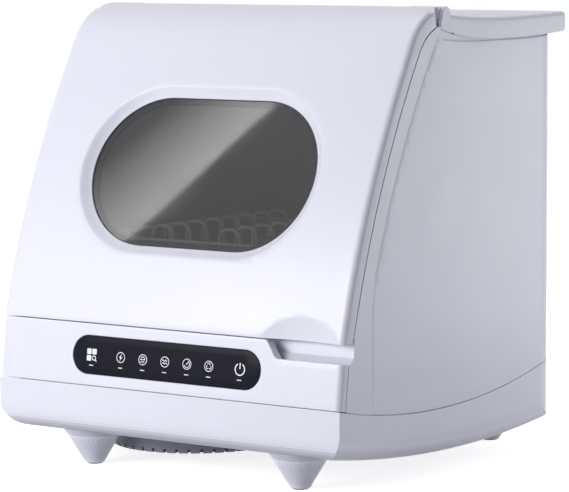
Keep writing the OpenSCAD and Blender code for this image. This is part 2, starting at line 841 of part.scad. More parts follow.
module tub() {
    flange = 20;
    color(shade) difference() {
        union() {
            difference() {
                along_x(2*tub_half) tub_side(0);
                along_x(2*(tub_half - tub_t)) tub_side(tub_t);
            }
            intersection() {
                along_x(2*(tub_half + flange)) intersection() {
                    band(flange_o, flange_o + tub_t);
                    slice(-far, tub_step_z, far, tub_high_z + flange);
                }
                box([-far, -far, 0], [far, tub_back_y, 2*far]);
            }
        }
        mouth_block(0);
        rod_z(0, tub_floor_z + 9, sump_at[0], sump_at[1], sump_r + fit_gap);
        rod_z(0, tub_floor_z + 9, 0, lower_arm_y, spray_tube_r + fit_gap);
        rod_z(tub_high_z - 9, body_h, 0, upper_arm_y, spray_tube_r + fit_gap);
        rod_z(tub_high_z - 9, body_h, lamp_at[0], lamp_at[1], lamp_r + fit_gap);
        rod_y(tub_back_y - 9, rear_y, fan_at[0], fan_at[1], duct_r);
        rod_x(-half_w, -tub_half + 9, hose_end[1], hose_end[2], pipe_r - 1);
    }
}

module door_seal() {
    color(grey) difference() {
        intersection() {
            along_x(body_w) band(frame_o - door_gap + fit_gap, flange_o + tub_t);
            mouth_block(-fit_gap/3);
        }
        mouth_block(-seal_w);
    }
}

lamp_at = [-90, 60];
lamp_r = 9;
module tub_lamp() {
    color("ivory") {
        rod_z(tub_high_z - 6, tub_high_z + 8, lamp_at[0], lamp_at[1], lamp_r);
        rod_z(tub_high_z, tub_high_z + 3, lamp_at[0], lamp_at[1], lamp_r + 5);
    }
}

// Rails that carry the rack
rail_z = rack_z - 6;
rail_t = 2;
rail_reach = rack_gap + 4;
module rail(side) {
    y0 = front_y + 52;
    y1 = tub_back_y - 14;
    x_wall = tub_half - tub_t - 0.2;
    color(grey) mirror([side > 0 ? 0 : 1, 0, 0]) {
        span_x(x_wall - rail_reach, x_wall) slice(y0, rail_z - rail_t, y1, rail_z);
        span_x(x_wall - rail_t, x_wall) slice(y0, rail_z - rail_t, y1, rail_z + 12);
    }
}

module left_rail() {
    rail(-1);
}

module right_rail() {
    rail(1);
}

// Sump, pumps, heater and pipes
sump_low_z = 66;
sump_wall = 2.5;
module sump_bowl() {
    color(grey) difference() {
        union() {
            rod_z(sump_low_z, tub_floor_z, sump_at[0], sump_at[1], sump_r);
            rod_z(tub_low_z - 3, tub_low_z - 0.1, sump_at[0], sump_at[1], sump_r + 6);
        }
        rod_z(sump_low_z + sump_wall, tub_floor_z - 5, sump_at[0], sump_at[1], sump_r - sump_wall);
        rod_z(tub_floor_z - 6, tub_floor_z + 1, sump_at[0], sump_at[1], filter_r + 1);
        rod_z(tub_floor_z - 2.5, tub_floor_z + 1, sump_at[0], sump_at[1], filter_r + 5.4);
        rod_x(0, drain_x, sump_at[1], pump_z, pipe_r + 2);
    }
}

volute_x = [-52, -24];
module suction_pipe() {
    color(black) difference() {
        rod_x(volute_x[1], sump_at[0] - sump_r + 6, sump_at[1], pump_z, pipe_r + 2 - fit_gap/2);
        rod_x(volute_x[1] - 1, sump_at[0], sump_at[1], pump_z, pipe_r - 0.5);
        rod_z(0, body_h, sump_at[0], sump_at[1], sump_r - sump_wall - 0.5);
    }
}

shaft_r = 4;
module pump_volute() {
    out_z = pump_z + volute_r - pipe_r - 1;
    color(grey) difference() {
        union() {
            rod_x(volute_x[0], volute_x[1], sump_at[1], pump_z, volute_r);
            rod_y(sump_at[1], heater_y0, volute_mid, out_z, pipe_r + 1);
        }
        rod_x(volute_x[0] + wall, volute_x[1] - wall, sump_at[1], pump_z, volute_r - wall);
        rod_x(volute_x[0] - 1, volute_x[0] + wall + 1, sump_at[1], pump_z, shaft_r + 2);
        rod_x(volute_x[1] - wall - 1, volute_x[1] + 1, sump_at[1], pump_z, pipe_r);
        rod_y(sump_at[1], far, volute_mid, out_z, pipe_r - 1);
    }
}

volute_mid = (volute_x[0] + volute_x[1])/2;
heater_y0 = sump_at[1] + volute_r + 5;
heater_y1 = heater_y0 + 62;
heater_z = pump_z + volute_r - pipe_r - 1;
impeller_x = [volute_mid - 7, volute_mid + 6];
module wash_motor() {
    color(steel) {
        rod_x(volute_x[0] - motor_len, volute_x[0] - fit_gap, sump_at[1], pump_z, motor_r);
        rod_x(volute_x[0] - motor_len - 6, volute_x[0] - motor_len, sump_at[1], pump_z, motor_r*0.5);
        rod_x(volute_x[0] - 2, impeller_x[1] - 1, sump_at[1], pump_z, shaft_r);
    }
}

module pump_impeller() {
    vane_t = 2;
    hub_r = shaft_r + 4;
    rim = volute_r - wall - 5;
    color(black) difference() {
        union() {
            rod_x(impeller_x[0], impeller_x[0] + 2, sump_at[1], pump_z, rim);
            rod_x(impeller_x[0], impeller_x[1], sump_at[1], pump_z, hub_r);
            translate([impeller_x[0], sump_at[1], pump_z]) for (i = [0:5]) rotate([60*i, 0, 0])
                box([0, hub_r - 1, -vane_t/2], [impeller_x[1] - impeller_x[0] - 2, rim - 1, vane_t/2]);
        }
        rod_x(impeller_x[0] - 1, impeller_x[1] + 1, sump_at[1], pump_z, shaft_r + run_gap);
    }
}

// A saddle that stands on the tray's floor
module saddle(low, high, y, r) {
    difference() {
        intersection() {
            box(low, high);
            tray_solid(wall + 0.2);
        }
        rod_x(-far, far, y, pump_z, r);
    }
}

module pump_mount() {
    color(black) for (x = [volute_x[0] - 20, volute_x[0] - motor_len + 8])
        saddle([x - 6, sump_at[1] - 22, 0], [x + 6, sump_at[1] + 22, pump_z - motor_r*0.55], sump_at[1],
            motor_r + 0.2);
}

module flow_heater() {
    color(steel) difference() {
        union() {
            rod_y(heater_y0 + 8, heater_y1, volute_mid, heater_z, heater_r);
            rod_y(heater_y0 + fit_gap/3, heater_y1 + 6, volute_mid, heater_z, pipe_r + 1);
            for (y = [18, 48]) rod_z(heater_z - heater_r - 6, heater_z, volute_mid, heater_y0 + y, 3);
        }
        rod_y(heater_y0 - 1, heater_y1 + 7, volute_mid, heater_z, pipe_r - 1);
    }
}

manifold_y = heater_y1 + 22;
module feed_manifold() {
    shoulder_z = tub_floor_z + 9;
    color(grey) difference() {
        union() {
            pipe_run([[volute_mid, heater_y1 + 6.1, heater_z], [volute_mid, manifold_y, heater_z],
                [0, manifold_y, heater_z], [0, lower_arm_y, heater_z], [0, lower_arm_y, shoulder_z]], pipe_r);
            rod_y(manifold_y, riser_y - 20, 0, heater_z, pipe_r);
            rod_z(tub_low_z - 10, tub_low_z - 0.1, 0, lower_arm_y, spray_tube_r + 6);
            rod_z(tub_low_z - 10, shoulder_z, 0, lower_arm_y, spray_tube_r);
            rod_z(tub_floor_z + 0.1, shoulder_z, 0, lower_arm_y, spray_tube_r + 4);
            rod_z(shoulder_z, shoulder_z + spray_t + 5, 0, lower_arm_y, spray_tube_r);
        }
        rod_z(heater_z, shoulder_z + spray_t + 6, 0, lower_arm_y, spray_tube_r - 2.5);
        rod_y(heater_y1, manifold_y, volute_mid, heater_z, pipe_r - 2);
        rod_y(lower_arm_y, riser_y, 0, heater_z, pipe_r - 2);
        rod_x(volute_mid, 0, manifold_y, heater_z, pipe_r - 2);
    }
}

lower_arm_z = tub_floor_z + 9 + fit_gap;
upper_arm_z = tub_high_z - tub_t - 10 - spray_t - fit_gap;
roof_pipe_z = tub_high_z + pipe_r + 3;
module riser_pipe() {
    color(grey) difference() {
        union() {
            pipe_run([[0, riser_y - 19.9, heater_z], [0, riser_y, heater_z], [0, riser_y, roof_pipe_z],
                [0, upper_arm_y, roof_pipe_z]], pipe_r);
            translate([0, upper_arm_y, roof_pipe_z]) sphere(r = spray_tube_r + 0.5);
            rod_z(tub_high_z + 0.1, tub_high_z + 2.4, 0, upper_arm_y, spray_tube_r + 6);
            rod_z(upper_arm_z - 5, roof_pipe_z, 0, upper_arm_y, spray_tube_r);
            rod_z(upper_arm_z + spray_t + fit_gap, tub_high_z - tub_t - 0.1, 0, upper_arm_y,
                spray_tube_r + 4);
        }
        rod_z(upper_arm_z - 6, roof_pipe_z, 0, upper_arm_y, spray_tube_r - 2.5);
        rod_y(riser_y - 20, riser_y, 0, heater_z, pipe_r - 2);
        rod_z(heater_z, roof_pipe_z, 0, riser_y, pipe_r - 2);
        rod_y(upper_arm_y, riser_y, 0, roof_pipe_z, pipe_r - 2);
    }
}

// Spray arms turn on the ends of the feed pipes and are held by screw-on caps
module spray_blade(reach, hub_z, y, dir) {
    hub_r = spray_tube_r + 9;
    tilt = spray_t*0.6;
    difference() {
        union() {
            translate([0, y, hub_z]) cylinder(r = hub_r, h = spray_t);
            translate([0, y, hub_z + (spray_t - tilt)/2]) linear_extrude(tilt) {
                square([2*reach - spray_w, spray_w], center = true);
                for (x = [-1, 1]) translate([x*(reach - spray_w/2), 0]) circle(r = spray_w/2);
            }
        }
        translate([0, y, hub_z - 1]) cylinder(r = spray_tube_r + run_gap, h = spray_t + 2);
        for (x = [0.3:0.16:0.94], s = [-1, 1]) translate([s*x*reach, y + s*spray_w*0.22, hub_z + spray_t/2])
            rotate([dir > 0 ? 0 : 180, 0, 0]) cylinder(r = 1.2, h = spray_t);
    }
}

module lower_spray_arm() {
    color(grey) spray_blade(lower_reach, lower_arm_z, lower_arm_y, 1);
}

module upper_spray_arm() {
    color(grey) spray_blade(upper_reach, upper_arm_z, upper_arm_y, -1);
}

module spray_caps() {
    cap_r = spray_tube_r + 5;
    cap_h = 4;
    lower_top = lower_arm_z + spray_t + fit_gap;
    upper_low = upper_arm_z - fit_gap;
    color(black) difference() {
        union() {
            rod_z(lower_top, lower_top + cap_h + 1.5, 0, lower_arm_y, cap_r);
            rod_z(upper_low - cap_h - 1.5, upper_low, 0, upper_arm_y, cap_r);
        }
        rod_z(lower_top - 1, tub_floor_z + 9 + spray_t + 5.1, 0, lower_arm_y, spray_tube_r + 0.05);
        rod_z(upper_arm_z - 5.1, upper_arm_z + 1, 0, upper_arm_y, spray_tube_r + 0.05);
    }
}

filter_r = 31;
module sump_filter() {
    mesh_h = 44;
    slot_n = 24;
    color(steel) difference() {
        union() {
            rod_z(tub_floor_z - mesh_h, tub_floor_z, sump_at[0], sump_at[1], filter_r);
            rod_z(tub_floor_z - 2.2, tub_floor_z + 1.2, sump_at[0], sump_at[1], filter_r + 5);
            box([sump_at[0] - 20, sump_at[1] - 3, tub_floor_z],
                [sump_at[0] + 20, sump_at[1] + 3, tub_floor_z + 6.5]);
        }
        rod_z(tub_floor_z - mesh_h + 2, tub_floor_z - 2, sump_at[0], sump_at[1], filter_r - 1.5);
        translate([sump_at[0], sump_at[1], 0]) for (i = [0:slot_n - 1]) rotate([0, 0, 360*(i + 0.5)/slot_n])
            translate([filter_r - 4, -1, tub_floor_z - mesh_h + 6]) cube([6, 2, mesh_h - 14]);
        translate([sump_at[0], sump_at[1], 0]) for (i = [0:11]) rotate([0, 0, 30*(i + 0.5)])
            translate([22, 0, tub_floor_z - 3]) cylinder(r = 2.2, h = 6);
    }
}

drain_body_x = sump_at[0] + sump_r + 6;
module drain_pump() {
    color(black) difference() {
        union() {
            rod_x(drain_body_x, drain_x + 14, sump_at[1], pump_z, drain_r);
            rod_x(drain_x + 14, drain_x + 40, sump_at[1], pump_z, drain_r - 5);
            rod_x(sump_at[0] + sump_r - 6, drain_body_x, sump_at[1], pump_z, pipe_r + 2 - fit_gap/2);
            rod_y(sump_at[1], sump_at[1] + drain_r + 12, drain_x, fitting_z, pipe_r - 0.5);
            saddle([drain_x - 9, sump_at[1] - 12, 0], [drain_x + 10, sump_at[1] + 12, pump_z],
                sump_at[1], 1);
        }
        rod_x(0, drain_body_x + 12, sump_at[1], pump_z, pipe_r - 1);
        rod_z(0, body_h, sump_at[0], sump_at[1], sump_r - sump_wall - 0.5);
        rod_y(sump_at[1], far, drain_x, fitting_z, pipe_r - 2.5);
    }
}

module drain_hose() {
    y0 = sump_at[1] + drain_r + 2;
    r = pipe_r + 2;
    color(grey) difference() {
        union() {
            rod_y(y0, bay_y - wall - 8, drain_x, fitting_z, r);
            for (y = [y0 + 18:9:bay_y - 40]) rod_y(y, y + 4, drain_x, fitting_z, r + 1.5);
        }
        rod_y(y0 - 1, bay_y, drain_x, fitting_z, pipe_r - 0.4);
    }
}

// Fittings in the rear bay. Each stands off the bay's wall by a short relief.
fitting_relief = 1;
module drain_spigot() {
    bore = spigot_r - 2.5;
    color(black) difference() {
        union() {
            rod_y(bay_y - 26, bay_y + fitting_relief + 1, drain_x, fitting_z, pipe_r - 0.5);
            rod_y(bay_y - wall - 3, bay_y - wall - 0.1, drain_x, fitting_z, spigot_r + 5);
            rod_y(bay_y + fitting_relief, back_y - 6, drain_x, fitting_z, spigot_r);
        }
        rod_y(bay_y - 21, back_y, drain_x, fitting_z, bore);
    }
}

module water_inlet() {
    color(casing) difference() {
        union() {
            rod_y(bay_y - wall - 3, bay_y + fitting_relief + 1, inlet_x, fitting_z, inlet_r - 1);
            rod_y(bay_y + fitting_relief, back_y - 5, inlet_x, fitting_z, inlet_r);
            rod_y(bay_y - wall - 3, bay_y - wall - 0.1, inlet_x, fitting_z, inlet_r + 3);
        }
        rod_y(bay_y - wall - 4, back_y, inlet_x, fitting_z, inlet_r - 4);
    }
}

module cord_gland() {
    neck = gland_bore_r + 3;
    color(black) difference() {
        union() {
            rod_y(bay_y - wall - 4, bay_y + 1, gland_x, fitting_z, neck);
            rod_y(bay_y + 0.1, bay_y + 4, gland_x, fitting_z, neck + 3);
            rod_y(bay_y - wall - 6, bay_y - wall - 0.1, gland_x, fitting_z, neck + 3);
        }
        rod_y(bay_y - wall - 8, back_y, gland_x, fitting_z, gland_bore_r);
    }
}

valve_y = [bay_y - wall - 34, bay_y - wall - 3.1];
module inlet_valve() {
    color(casing) difference() {
        union() {
            box([inlet_x - 15, valve_y[0], fitting_z - 14], [inlet_x + 15, valve_y[1], fitting_z + 14]);
            rod_z(fitting_z - 40, fitting_z - 13, inlet_x, valve_y[0] + 15, 11);
        }
        rod_y(valve_y[0] + 4, back_y, inlet_x, fitting_z, 6);
    }
}

hose_end = [-tub_half - 16, tub_back_y - 12, 205];
module inlet_hose() {
    y = hose_end[1];
    z = fitting_z + 4;
    color(grey) pipe_run([[inlet_x, valve_y[0] - 0.1, z], [inlet_x, y, z], [hose_end[0], y, z],
        [hose_end[0], y, hose_end[2]], [-tub_half - 0.1, y, hose_end[2]]], pipe_r - 2);
}

// Drying fan behind the tub
duct_r = 15;
fan_y = [tub_back_y + 4, tub_back_y + 32];
fan_shaft_r = 2;
module fan_housing() {
    ear = 8;
    color(black) difference() {
        union() {
            rod_y(fan_y[0], fan_y[1], fan_at[0], fan_at[1], fan_r + 5);
            rod_y(tub_back_y + 0.1, fan_y[0], fan_at[0], fan_at[1], duct_r + 2.5);
            for (s = [-1, 1]) box([fan_at[0] + s*(fan_r + 8) - ear, tub_back_y + 0.1, fan_at[1] - ear],
                [fan_at[0] + s*(fan_r + 8) + ear, fan_y[0] + 2, fan_at[1] + ear]);
        }
        rod_y(fan_y[0] + 2, fan_y[1] - 2, fan_at[0], fan_at[1], fan_r + 3);
        rod_y(tub_back_y, fan_y[0] + 3, fan_at[0], fan_at[1], duct_r);
        difference() {
            rod_y(fan_y[1] - 3, fan_y[1] + 1, fan_at[0], fan_at[1], fan_r - 4);
            rod_y(fan_y[1] - 4, fan_y[1] + 2, fan_at[0], fan_at[1], 13);
            for (a = [0, 60, 120]) translate([fan_at[0], 0, fan_at[1]]) rotate([0, a, 0])
                box([-fan_r, fan_y[1] - 4, -2], [fan_r, fan_y[1] + 2, 2]);
        }
        rod_y(fan_y[1] - 3, fan_y[1] + 1, fan_at[0], fan_at[1], fan_shaft_r + 1);
    }
}

module fan_motor() {
    color(steel) {
        rod_y(fan_y[1] + 0.1, fan_y[1] + 11, fan_at[0], fan_at[1], 12);
        rod_y(fan_y[0] + 5, fan_y[1] + 0.2, fan_at[0], fan_at[1], fan_shaft_r);
    }
}

module fan_wheel() {
    y0 = fan_y[0] + 4;
    y1 = fan_y[1] - 4;
    blades = 18;
    color(grey) difference() {
        union() {
            rod_y(y1 - 1.5, y1, fan_at[0], fan_at[1], fan_r);
            rod_y(y0, y1, fan_at[0], fan_at[1], 6);
            for (i = [0:blades - 1]) translate([fan_at[0], 0, fan_at[1]]) rotate([0, 360*i/blades, 0])
                box([fan_r - 9, y0, -0.8], [fan_r - 0.5, y1 - 1, 0.8]);
        }
        rod_y(y0 - 1, y1 + 1, fan_at[0], fan_at[1], fan_shaft_r + run_gap);
    }
}

// Electronics on the tub's left wall
box_y = [-70, 50];
box_z = [180, 290];
box_x = [-tub_half - 30, -tub_half - 0.2];
module board_box() {
    color(shade) difference() {
        box([box_x[0], box_y[0], box_z[0]], [box_x[1], box_y[1], box_z[1]]);
        box([box_x[0] - 1, box_y[0] + 2, box_z[0] + 2], [box_x[1] - 2, box_y[1] - 2, box_z[1] - 2]);
    }
    color(shade) for (y = [box_y[0] + 12, box_y[1] - 12], z = [box_z[0] + 12, box_z[1] - 12])
        rod_x(box_x[1] - 8, box_x[1] - 1, y, z, 3);
}

module control_board() {
    board_x = box_x[1] - 8.1;
    color("darkgreen") {
        box([board_x - 1.6, box_y[0] + 4, box_z[0] + 4], [board_x, box_y[1] - 4, box_z[1] - 4]);
        for (z = [0, 22, 44]) box([board_x - 14, box_y[0] + 14, box_z[0] + 18 + z],
            [board_x - 1, box_y[0] + 30, box_z[0] + 34 + z]);
        box([board_x - 16, box_y[1] - 46, box_z[0] + 14], [board_x - 1, box_y[1] - 14, box_z[0] + 44]);
        for (y = [50, 66]) rod_x(board_x - 16, board_x - 1, box_y[0] + y, box_z[1] - 30, 6);
    }
}

module wire_harness() {
    x = box_x[0] + 8;
    y = front_y + 62;
    z = touch_z + 3;
    color(black) pipe_run([[x, box_y[0] - 0.1, box_z[0] + 30], [x, y, box_z[0] + 30], [x, y, z],
        [x + 36, y, z], [x + 36, front_y + 19, z]], 3);
}

// A sealed door switch and two catch plates behind the frame, and the magnets in the door that work them
plate_w = 18;
catch_x = half_w - 24;
catch_lean = 17;
switch_lean = 20;
module at_place(x, lean, o) {
    p = on_curve(lean, o);
    translate([x, p[0], p[1]]) rotate([90 - lean, 0, 0]) children();
}

module door_switch() {
    color(black) at_place(-catch_x, switch_lean, frame_o + wall + 0.3) {
        translate([-9, -10, -8]) cube([18, 20, 8]);
        translate([-6, -3, -14]) cube([12, 6, 7]);
    }
}

module catch_plates() {
    color(steel) for (s = [-1, 1]) at_place(s*catch_x, catch_lean, frame_o + wall + 0.3)
        translate([-plate_w/2, -9, -2]) cube([plate_w, 18, 2]);
}

module door_magnets() {
    color(black) {
        for (s = [-1, 1]) at_place(s*catch_x, catch_lean, door_t - wall - 0.5)
            translate([-plate_w/2, -8, 0.3]) cube([plate_w, 16, 6]);
        at_place(-catch_x, switch_lean, door_t - wall - 0.5) translate([-6, -4, 0.3]) cube([12, 8, 4]);
    }
}

// Hinges
knuckle_x = [half_w - 4 - fit_gap - knuckle_len, half_w - 4 - fit_gap];
arm_x = [knuckle_x[0] - 2 - arm_t, knuckle_x[0] - 2];
cut_r = knuckle_r + 0.8;
module hinge_bracket(side) {
    foot_z = door_top_z - frame_o + 0.1;
    color(casing) difference() {
        mirror([side > 0 ? 0 : 1, 0, 0]) union() {
            rod_x(knuckle_x[0], knuckle_x[1], axis_y, axis_z, knuckle_r);
            box([knuckle_x[0], axis_y - 4.5, foot_z], [knuckle_x[1], axis_y + 6, axis_z]);
        }
        rod_x(-half_w, half_w, axis_y, axis_z, pin_r + 0.02);
    }
}

module left_hinge_bracket() {
    hinge_bracket(-1);
}

module right_hinge_bracket() {
    hinge_bracket(1);
}

module hinge_pins() {
    color(steel) for (side = [0, 1]) mirror([side, 0, 0])
        rod_x(arm_x[0] - 2, knuckle_x[1] - 1, axis_y, axis_z, pin_r);
}

module hinge_arm(side) {
    eye_r = 5.3;
    color(steel) mirror([side > 0 ? 0 : 1, 0, 0]) difference() {
        union() {
            span_x(arm_x[0], arm_x[1]) intersection() {
                band(skin_t + 0.2, door_t - wall - 0.2);
                slice(axis_y - 62, 300, axis_y - pin_r - 1, body_h);
            }
            rod_x(arm_x[0], arm_x[1], axis_y, axis_z, eye_r);
        }
        rod_x(0, half_w, axis_y, axis_z, pin_r + run_gap);
    }
}

module left_hinge_arm() {
    hinge_arm(-1);
}

module right_hinge_arm() {
    hinge_arm(1);
}

// Door
door_end_y = axis_y - 2.5;
module door_zone(gap) {
    slice(-far, seam_z + gap, door_end_y, body_h);
}

scoop_ball_r = (scoop_r*scoop_r + scoop_depth*scoop_depth)/(2*scoop_depth);
module scoop_ball(grow) {
    p = on_fascia(seam_z, scoop_depth - scoop_ball_r);
    translate([scoop_x, p[0], seam_z]) sphere(r = scoop_ball_r + grow, $fn = fine_fn/2);
}

module knuckle_cut() {
    for (side = [0, 1]) mirror([side, 0, 0]) {
        rod_x(knuckle_x[0] - 1, half_w + 1, axis_y, axis_z, cut_r);
        box([knuckle_x[0] - 1, axis_y - 5, door_top_z - door_t - 5], [half_w + 1, axis_y + 5, body_h]);
        box([arm_x[0] - 0.5, axis_y - 8, door_top_z - door_t - 5], [arm_x[1] + 0.5, axis_y + 5, body_h]);
        box([knuckle_x[1] - 1, axis_y - 15, door_top_z - door_t - 5], [half_w + 1, axis_y + 5, body_h]);
    }
}

module door_skin() {
    color(casing) difference() {
        union() {
            along_x(body_w) intersection() {
                band(0, skin_t);
                door_zone(0);
            }
            for (x = [-1, 1]) translate([x*(half_w - skin_t/2), 0, 0]) along_x(skin_t) intersection() {
                band(0, door_t);
                door_zone(0);
            }
            intersection() {
                scoop_ball(skin_t);
                along_x(body_w) intersection() {
                    band(0, door_t);
                    door_zone(0);
                }
            }
            along_x(body_w) intersection() {
                band(0, door_t);
                slice(-far, seam_z, far, seam_z + skin_t);
            }
        }
        scoop_ball(0);
        window_block(bezel_w);
        knuckle_cut();
    }
}

inner_grow = -4;
module door_liner() {
    color(shade) difference() {
        union() {
            along_x(body_w - 2*skin_t - 2*fit_gap) intersection() {
                band(door_t - wall, door_t);
                door_zone(skin_t + fit_gap);
            }
            along_x(2*arm_x[0] - 4) intersection() {
                band(skin_t + fit_gap, door_t);
                slice(door_end_y - wall, 300, door_end_y, body_h);
            }
        }
        window_block(inner_grow);
        scoop_ball(skin_t + fit_gap);
        knuckle_cut();
    }
}

// The bezel goes down to the pane in steps, and clamps the pane against the seal
bezel_steps = 4;
module window_rim() {
    tread = bezel_w/bezel_steps;
    drop = (bezel_depth - 2)/bezel_steps;
    color(casing) {
        for (i = [0:bezel_steps - 1]) window_ring(0.6 + i*drop, 0.6 + (i + 1)*drop + 1.2,
            bezel_w - fit_gap - i*tread, bezel_w - fit_gap - (i + 1)*tread - 0.5);
        window_ring(skin_t + fit_gap, skin_t + fit_gap + 2, bezel_w + 6, bezel_w - 2);
        window_ring(bezel_depth - 1.4, bezel_depth, 4, 0);
        window_ring(bezel_depth - 1.4, bezel_depth + pane_t, 4, 2.5);
    }
}

module window_pane() {
    color([0.6, 0.62, 0.66, 0.5]) intersection() {
        along_x(body_w) band(bezel_depth + 0.1, bezel_depth + pane_t);
        window_block(2.5 - fit_gap);
    }
}

module window_seal() {
    color(black) window_ring(bezel_depth + pane_t + 0.1, door_t - wall - 0.1, 3, inner_grow - 1.5);
}

module inner_pane() {
    color([0.6, 0.62, 0.66, 0.5]) intersection() {
        along_x(body_w) band(door_t - wall, door_t - 0.2);
        window_block(inner_grow - fit_gap);
    }
}

// Dish rack: a floor grid, posts, a rim of four wires, four runners and two rows of plate loops, each
// butted on the wires below it with a weld's gap
rack_y = [front_y + 58, front_y + 58 + rack_d];
weld_gap = 0.02;
module wire_post(x, y, high) {
    rod_z(rack_z + wire_r + weld_gap, high, x, y, wire_r);
}

module wire_arch(a, b, high) {
    for (p = [a, b]) {
        wire_post(p[0], p[1], high);
        translate([p[0], p[1], high]) sphere(r = wire_r, $fn = 24);
    }
    pipe_leg([a[0], a[1], high], [b[0], b[1], high], wire_r);
}

loop_row_x = [-62, 22];
function loop_y(i) = rack_y[0] + 24 + i*(rack_d - 48)/(loop_count - 1);
module dish_rack() {
    x0 = -rack_w/2;
    x1 = rack_w/2;
    in = 2*wire_r + weld_gap;
    rim = rack_z + rack_rim_h;
    post_top = rim - wire_r - weld_gap;
    color(casing) {
        for (x = [x0:rack_w/6:x1 + 1]) pipe_leg([x, rack_y[0], rack_z], [x, rack_y[1], rack_z], wire_r);
        for (y = concat(rack_y, [for (i = [0:loop_count - 1]) loop_y(i)]))
            pipe_leg([x0 - wire_r, y, rack_z], [x1 + wire_r, y, rack_z], wire_r);
        for (y = rack_y) {
            pipe_leg([x0 - wire_r, y, rim], [x1 + wire_r, y, rim], wire_r);
            for (x = [x0:rack_w/6:x1 + 1]) wire_post(x, y, post_top);
        }
        for (x = [x0, x1]) {
            pipe_leg([x, rack_y[0] + in, rim], [x, rack_y[1] - in, rim], wire_r);
            for (y = [rack_y[0] + rack_d/4:rack_d/4:rack_y[1] - 9]) wire_post(x, y, post_top);
        }
        for (x = loop_row_x, i = [0:loop_count - 1])
            wire_arch([x - 13, loop_y(i)], [x + 13, loop_y(i)], rack_z + loop_h);
        for (x = [x0, x1], y = [rack_y[0] + 30, rack_y[1] - 30])
            box([x - 4, y - 12, rail_z + fit_gap], [x + 4, y + 12, rack_z - wire_r - weld_gap]);
    }
}

basket_x = [rack_w/2 - 6 - basket_w, rack_w/2 - 6];
basket_y = [rack_y[0] + 8, rack_y[0] + rack_d - 8];
module cutlery_basket() {
    low = rack_z + wire_r + fit_gap;
    t = 2;
    cells = 4;
    step = (basket_y[1] - basket_y[0] - t)/cells;
    foot = low + t + weld_gap;
    color(grey) {
        box([basket_x[0], basket_y[0], low], [basket_x[1], basket_y[1], low + t]);
        for (x = [basket_x[0], basket_x[1] - t]) difference() {
            box([x, basket_y[0], foot], [x + t, basket_y[1], low + basket_h]);
            for (i = [0:cells - 1], z = [10:9:basket_h - 9]) for (j = [0:3])
                box([x - 1, basket_y[0] + t + i*step + 6 + j*(step - 12)/4, low + z],
                    [x + t + 1, basket_y[0] + t + i*step + 6 + (j + 0.6)*(step - 12)/4, low + z + 5]);
        }
        for (i = [0:cells]) box([basket_x[0] + t + weld_gap, basket_y[0] + i*step, foot],
            [basket_x[1] - t - weld_gap, basket_y[0] + i*step + t, low + basket_h]);
    }
}

// Screws
module base_screws() {
    color(steel) at_towers() {
        translate([0, 0, head_z - head_h]) cylinder(r = head_r, h = head_h - 0.1);
        translate([0, 0, head_z - 0.5]) cylinder(r = screw_r, h = 22);
    }
}

module rear_screws() {
    color(steel) at_rear_screws() {
        rod_y(rear_y + 0.1, rear_y + 2.4, 0, 0, head_r);
        rod_y(rear_y - 2*wall, rear_y + 0.5, 0, 0, screw_r);
    }
}

base_tray();
foot_pads();
vent_housing();
front_frame();
left_panel();
right_panel();
rear_panel();
top_cover();
fascia();
touch_panel();
touch_board();
tub();
door_seal();
left_rail();
right_rail();
sump_bowl();
suction_pipe();
pump_volute();
wash_motor();
pump_mount();
flow_heater();
feed_manifold();
riser_pipe();
spray_caps();
drain_pump();
drain_hose();
inlet_valve();
inlet_hose();
water_inlet();
drain_spigot();
cord_gland();
fan_housing();
fan_motor();
board_box();
control_board();
wire_harness();
tub_lamp();
door_switch();
catch_plates();
left_hinge_bracket();
right_hinge_bracket();
hinge_pins();
base_screws();
rear_screws();
door_skin();
door_liner();
window_rim();
window_pane();
inner_pane();
window_seal();
left_hinge_arm();
right_hinge_arm();
door_magnets();
dish_rack();
cutlery_basket();
lower_spray_arm();
upper_spray_arm();
fan_wheel();
pump_impeller();
sump_filter();
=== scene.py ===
import math

import bpy
from bpy.props import FloatProperty, FloatVectorProperty, IntProperty, PointerProperty
from mathutils import Matrix, Vector
from mathutils.geometry import delaunay_2d_cdt
from mathutils.kdtree import KDTree


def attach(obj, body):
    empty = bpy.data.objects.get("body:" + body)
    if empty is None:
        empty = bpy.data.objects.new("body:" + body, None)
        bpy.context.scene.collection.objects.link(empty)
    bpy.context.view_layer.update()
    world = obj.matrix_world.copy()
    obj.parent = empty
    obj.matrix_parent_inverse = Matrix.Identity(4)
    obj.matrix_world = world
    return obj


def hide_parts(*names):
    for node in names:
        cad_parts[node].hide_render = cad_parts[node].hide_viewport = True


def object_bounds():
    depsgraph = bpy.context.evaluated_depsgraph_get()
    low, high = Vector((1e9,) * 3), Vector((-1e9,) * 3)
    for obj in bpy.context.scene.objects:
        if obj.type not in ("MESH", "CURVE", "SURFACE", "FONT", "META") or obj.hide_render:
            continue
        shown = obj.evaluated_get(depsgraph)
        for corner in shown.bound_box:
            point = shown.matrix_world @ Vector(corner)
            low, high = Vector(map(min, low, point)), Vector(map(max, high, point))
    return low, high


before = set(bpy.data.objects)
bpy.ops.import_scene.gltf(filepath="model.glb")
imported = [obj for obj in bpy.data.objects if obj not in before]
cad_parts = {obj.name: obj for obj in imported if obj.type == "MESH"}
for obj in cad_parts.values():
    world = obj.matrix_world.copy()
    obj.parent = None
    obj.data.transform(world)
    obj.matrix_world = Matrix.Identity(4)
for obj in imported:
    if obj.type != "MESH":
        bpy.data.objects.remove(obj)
cad_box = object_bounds()

bl_info = {
    "name": "Countertop Dishwasher",
    "version": (1, 0, 0),
    "blender": (4, 5, 0),
    "location": "View3D > Sidebar > Dishwasher",
    "description": "Dresses a compact dishwasher: casing, window, touch strip, rack and works",
    "category": "Object",
}

MM = 0.001

# ---------------------------------------------------------------- lines of the body, in millimetres

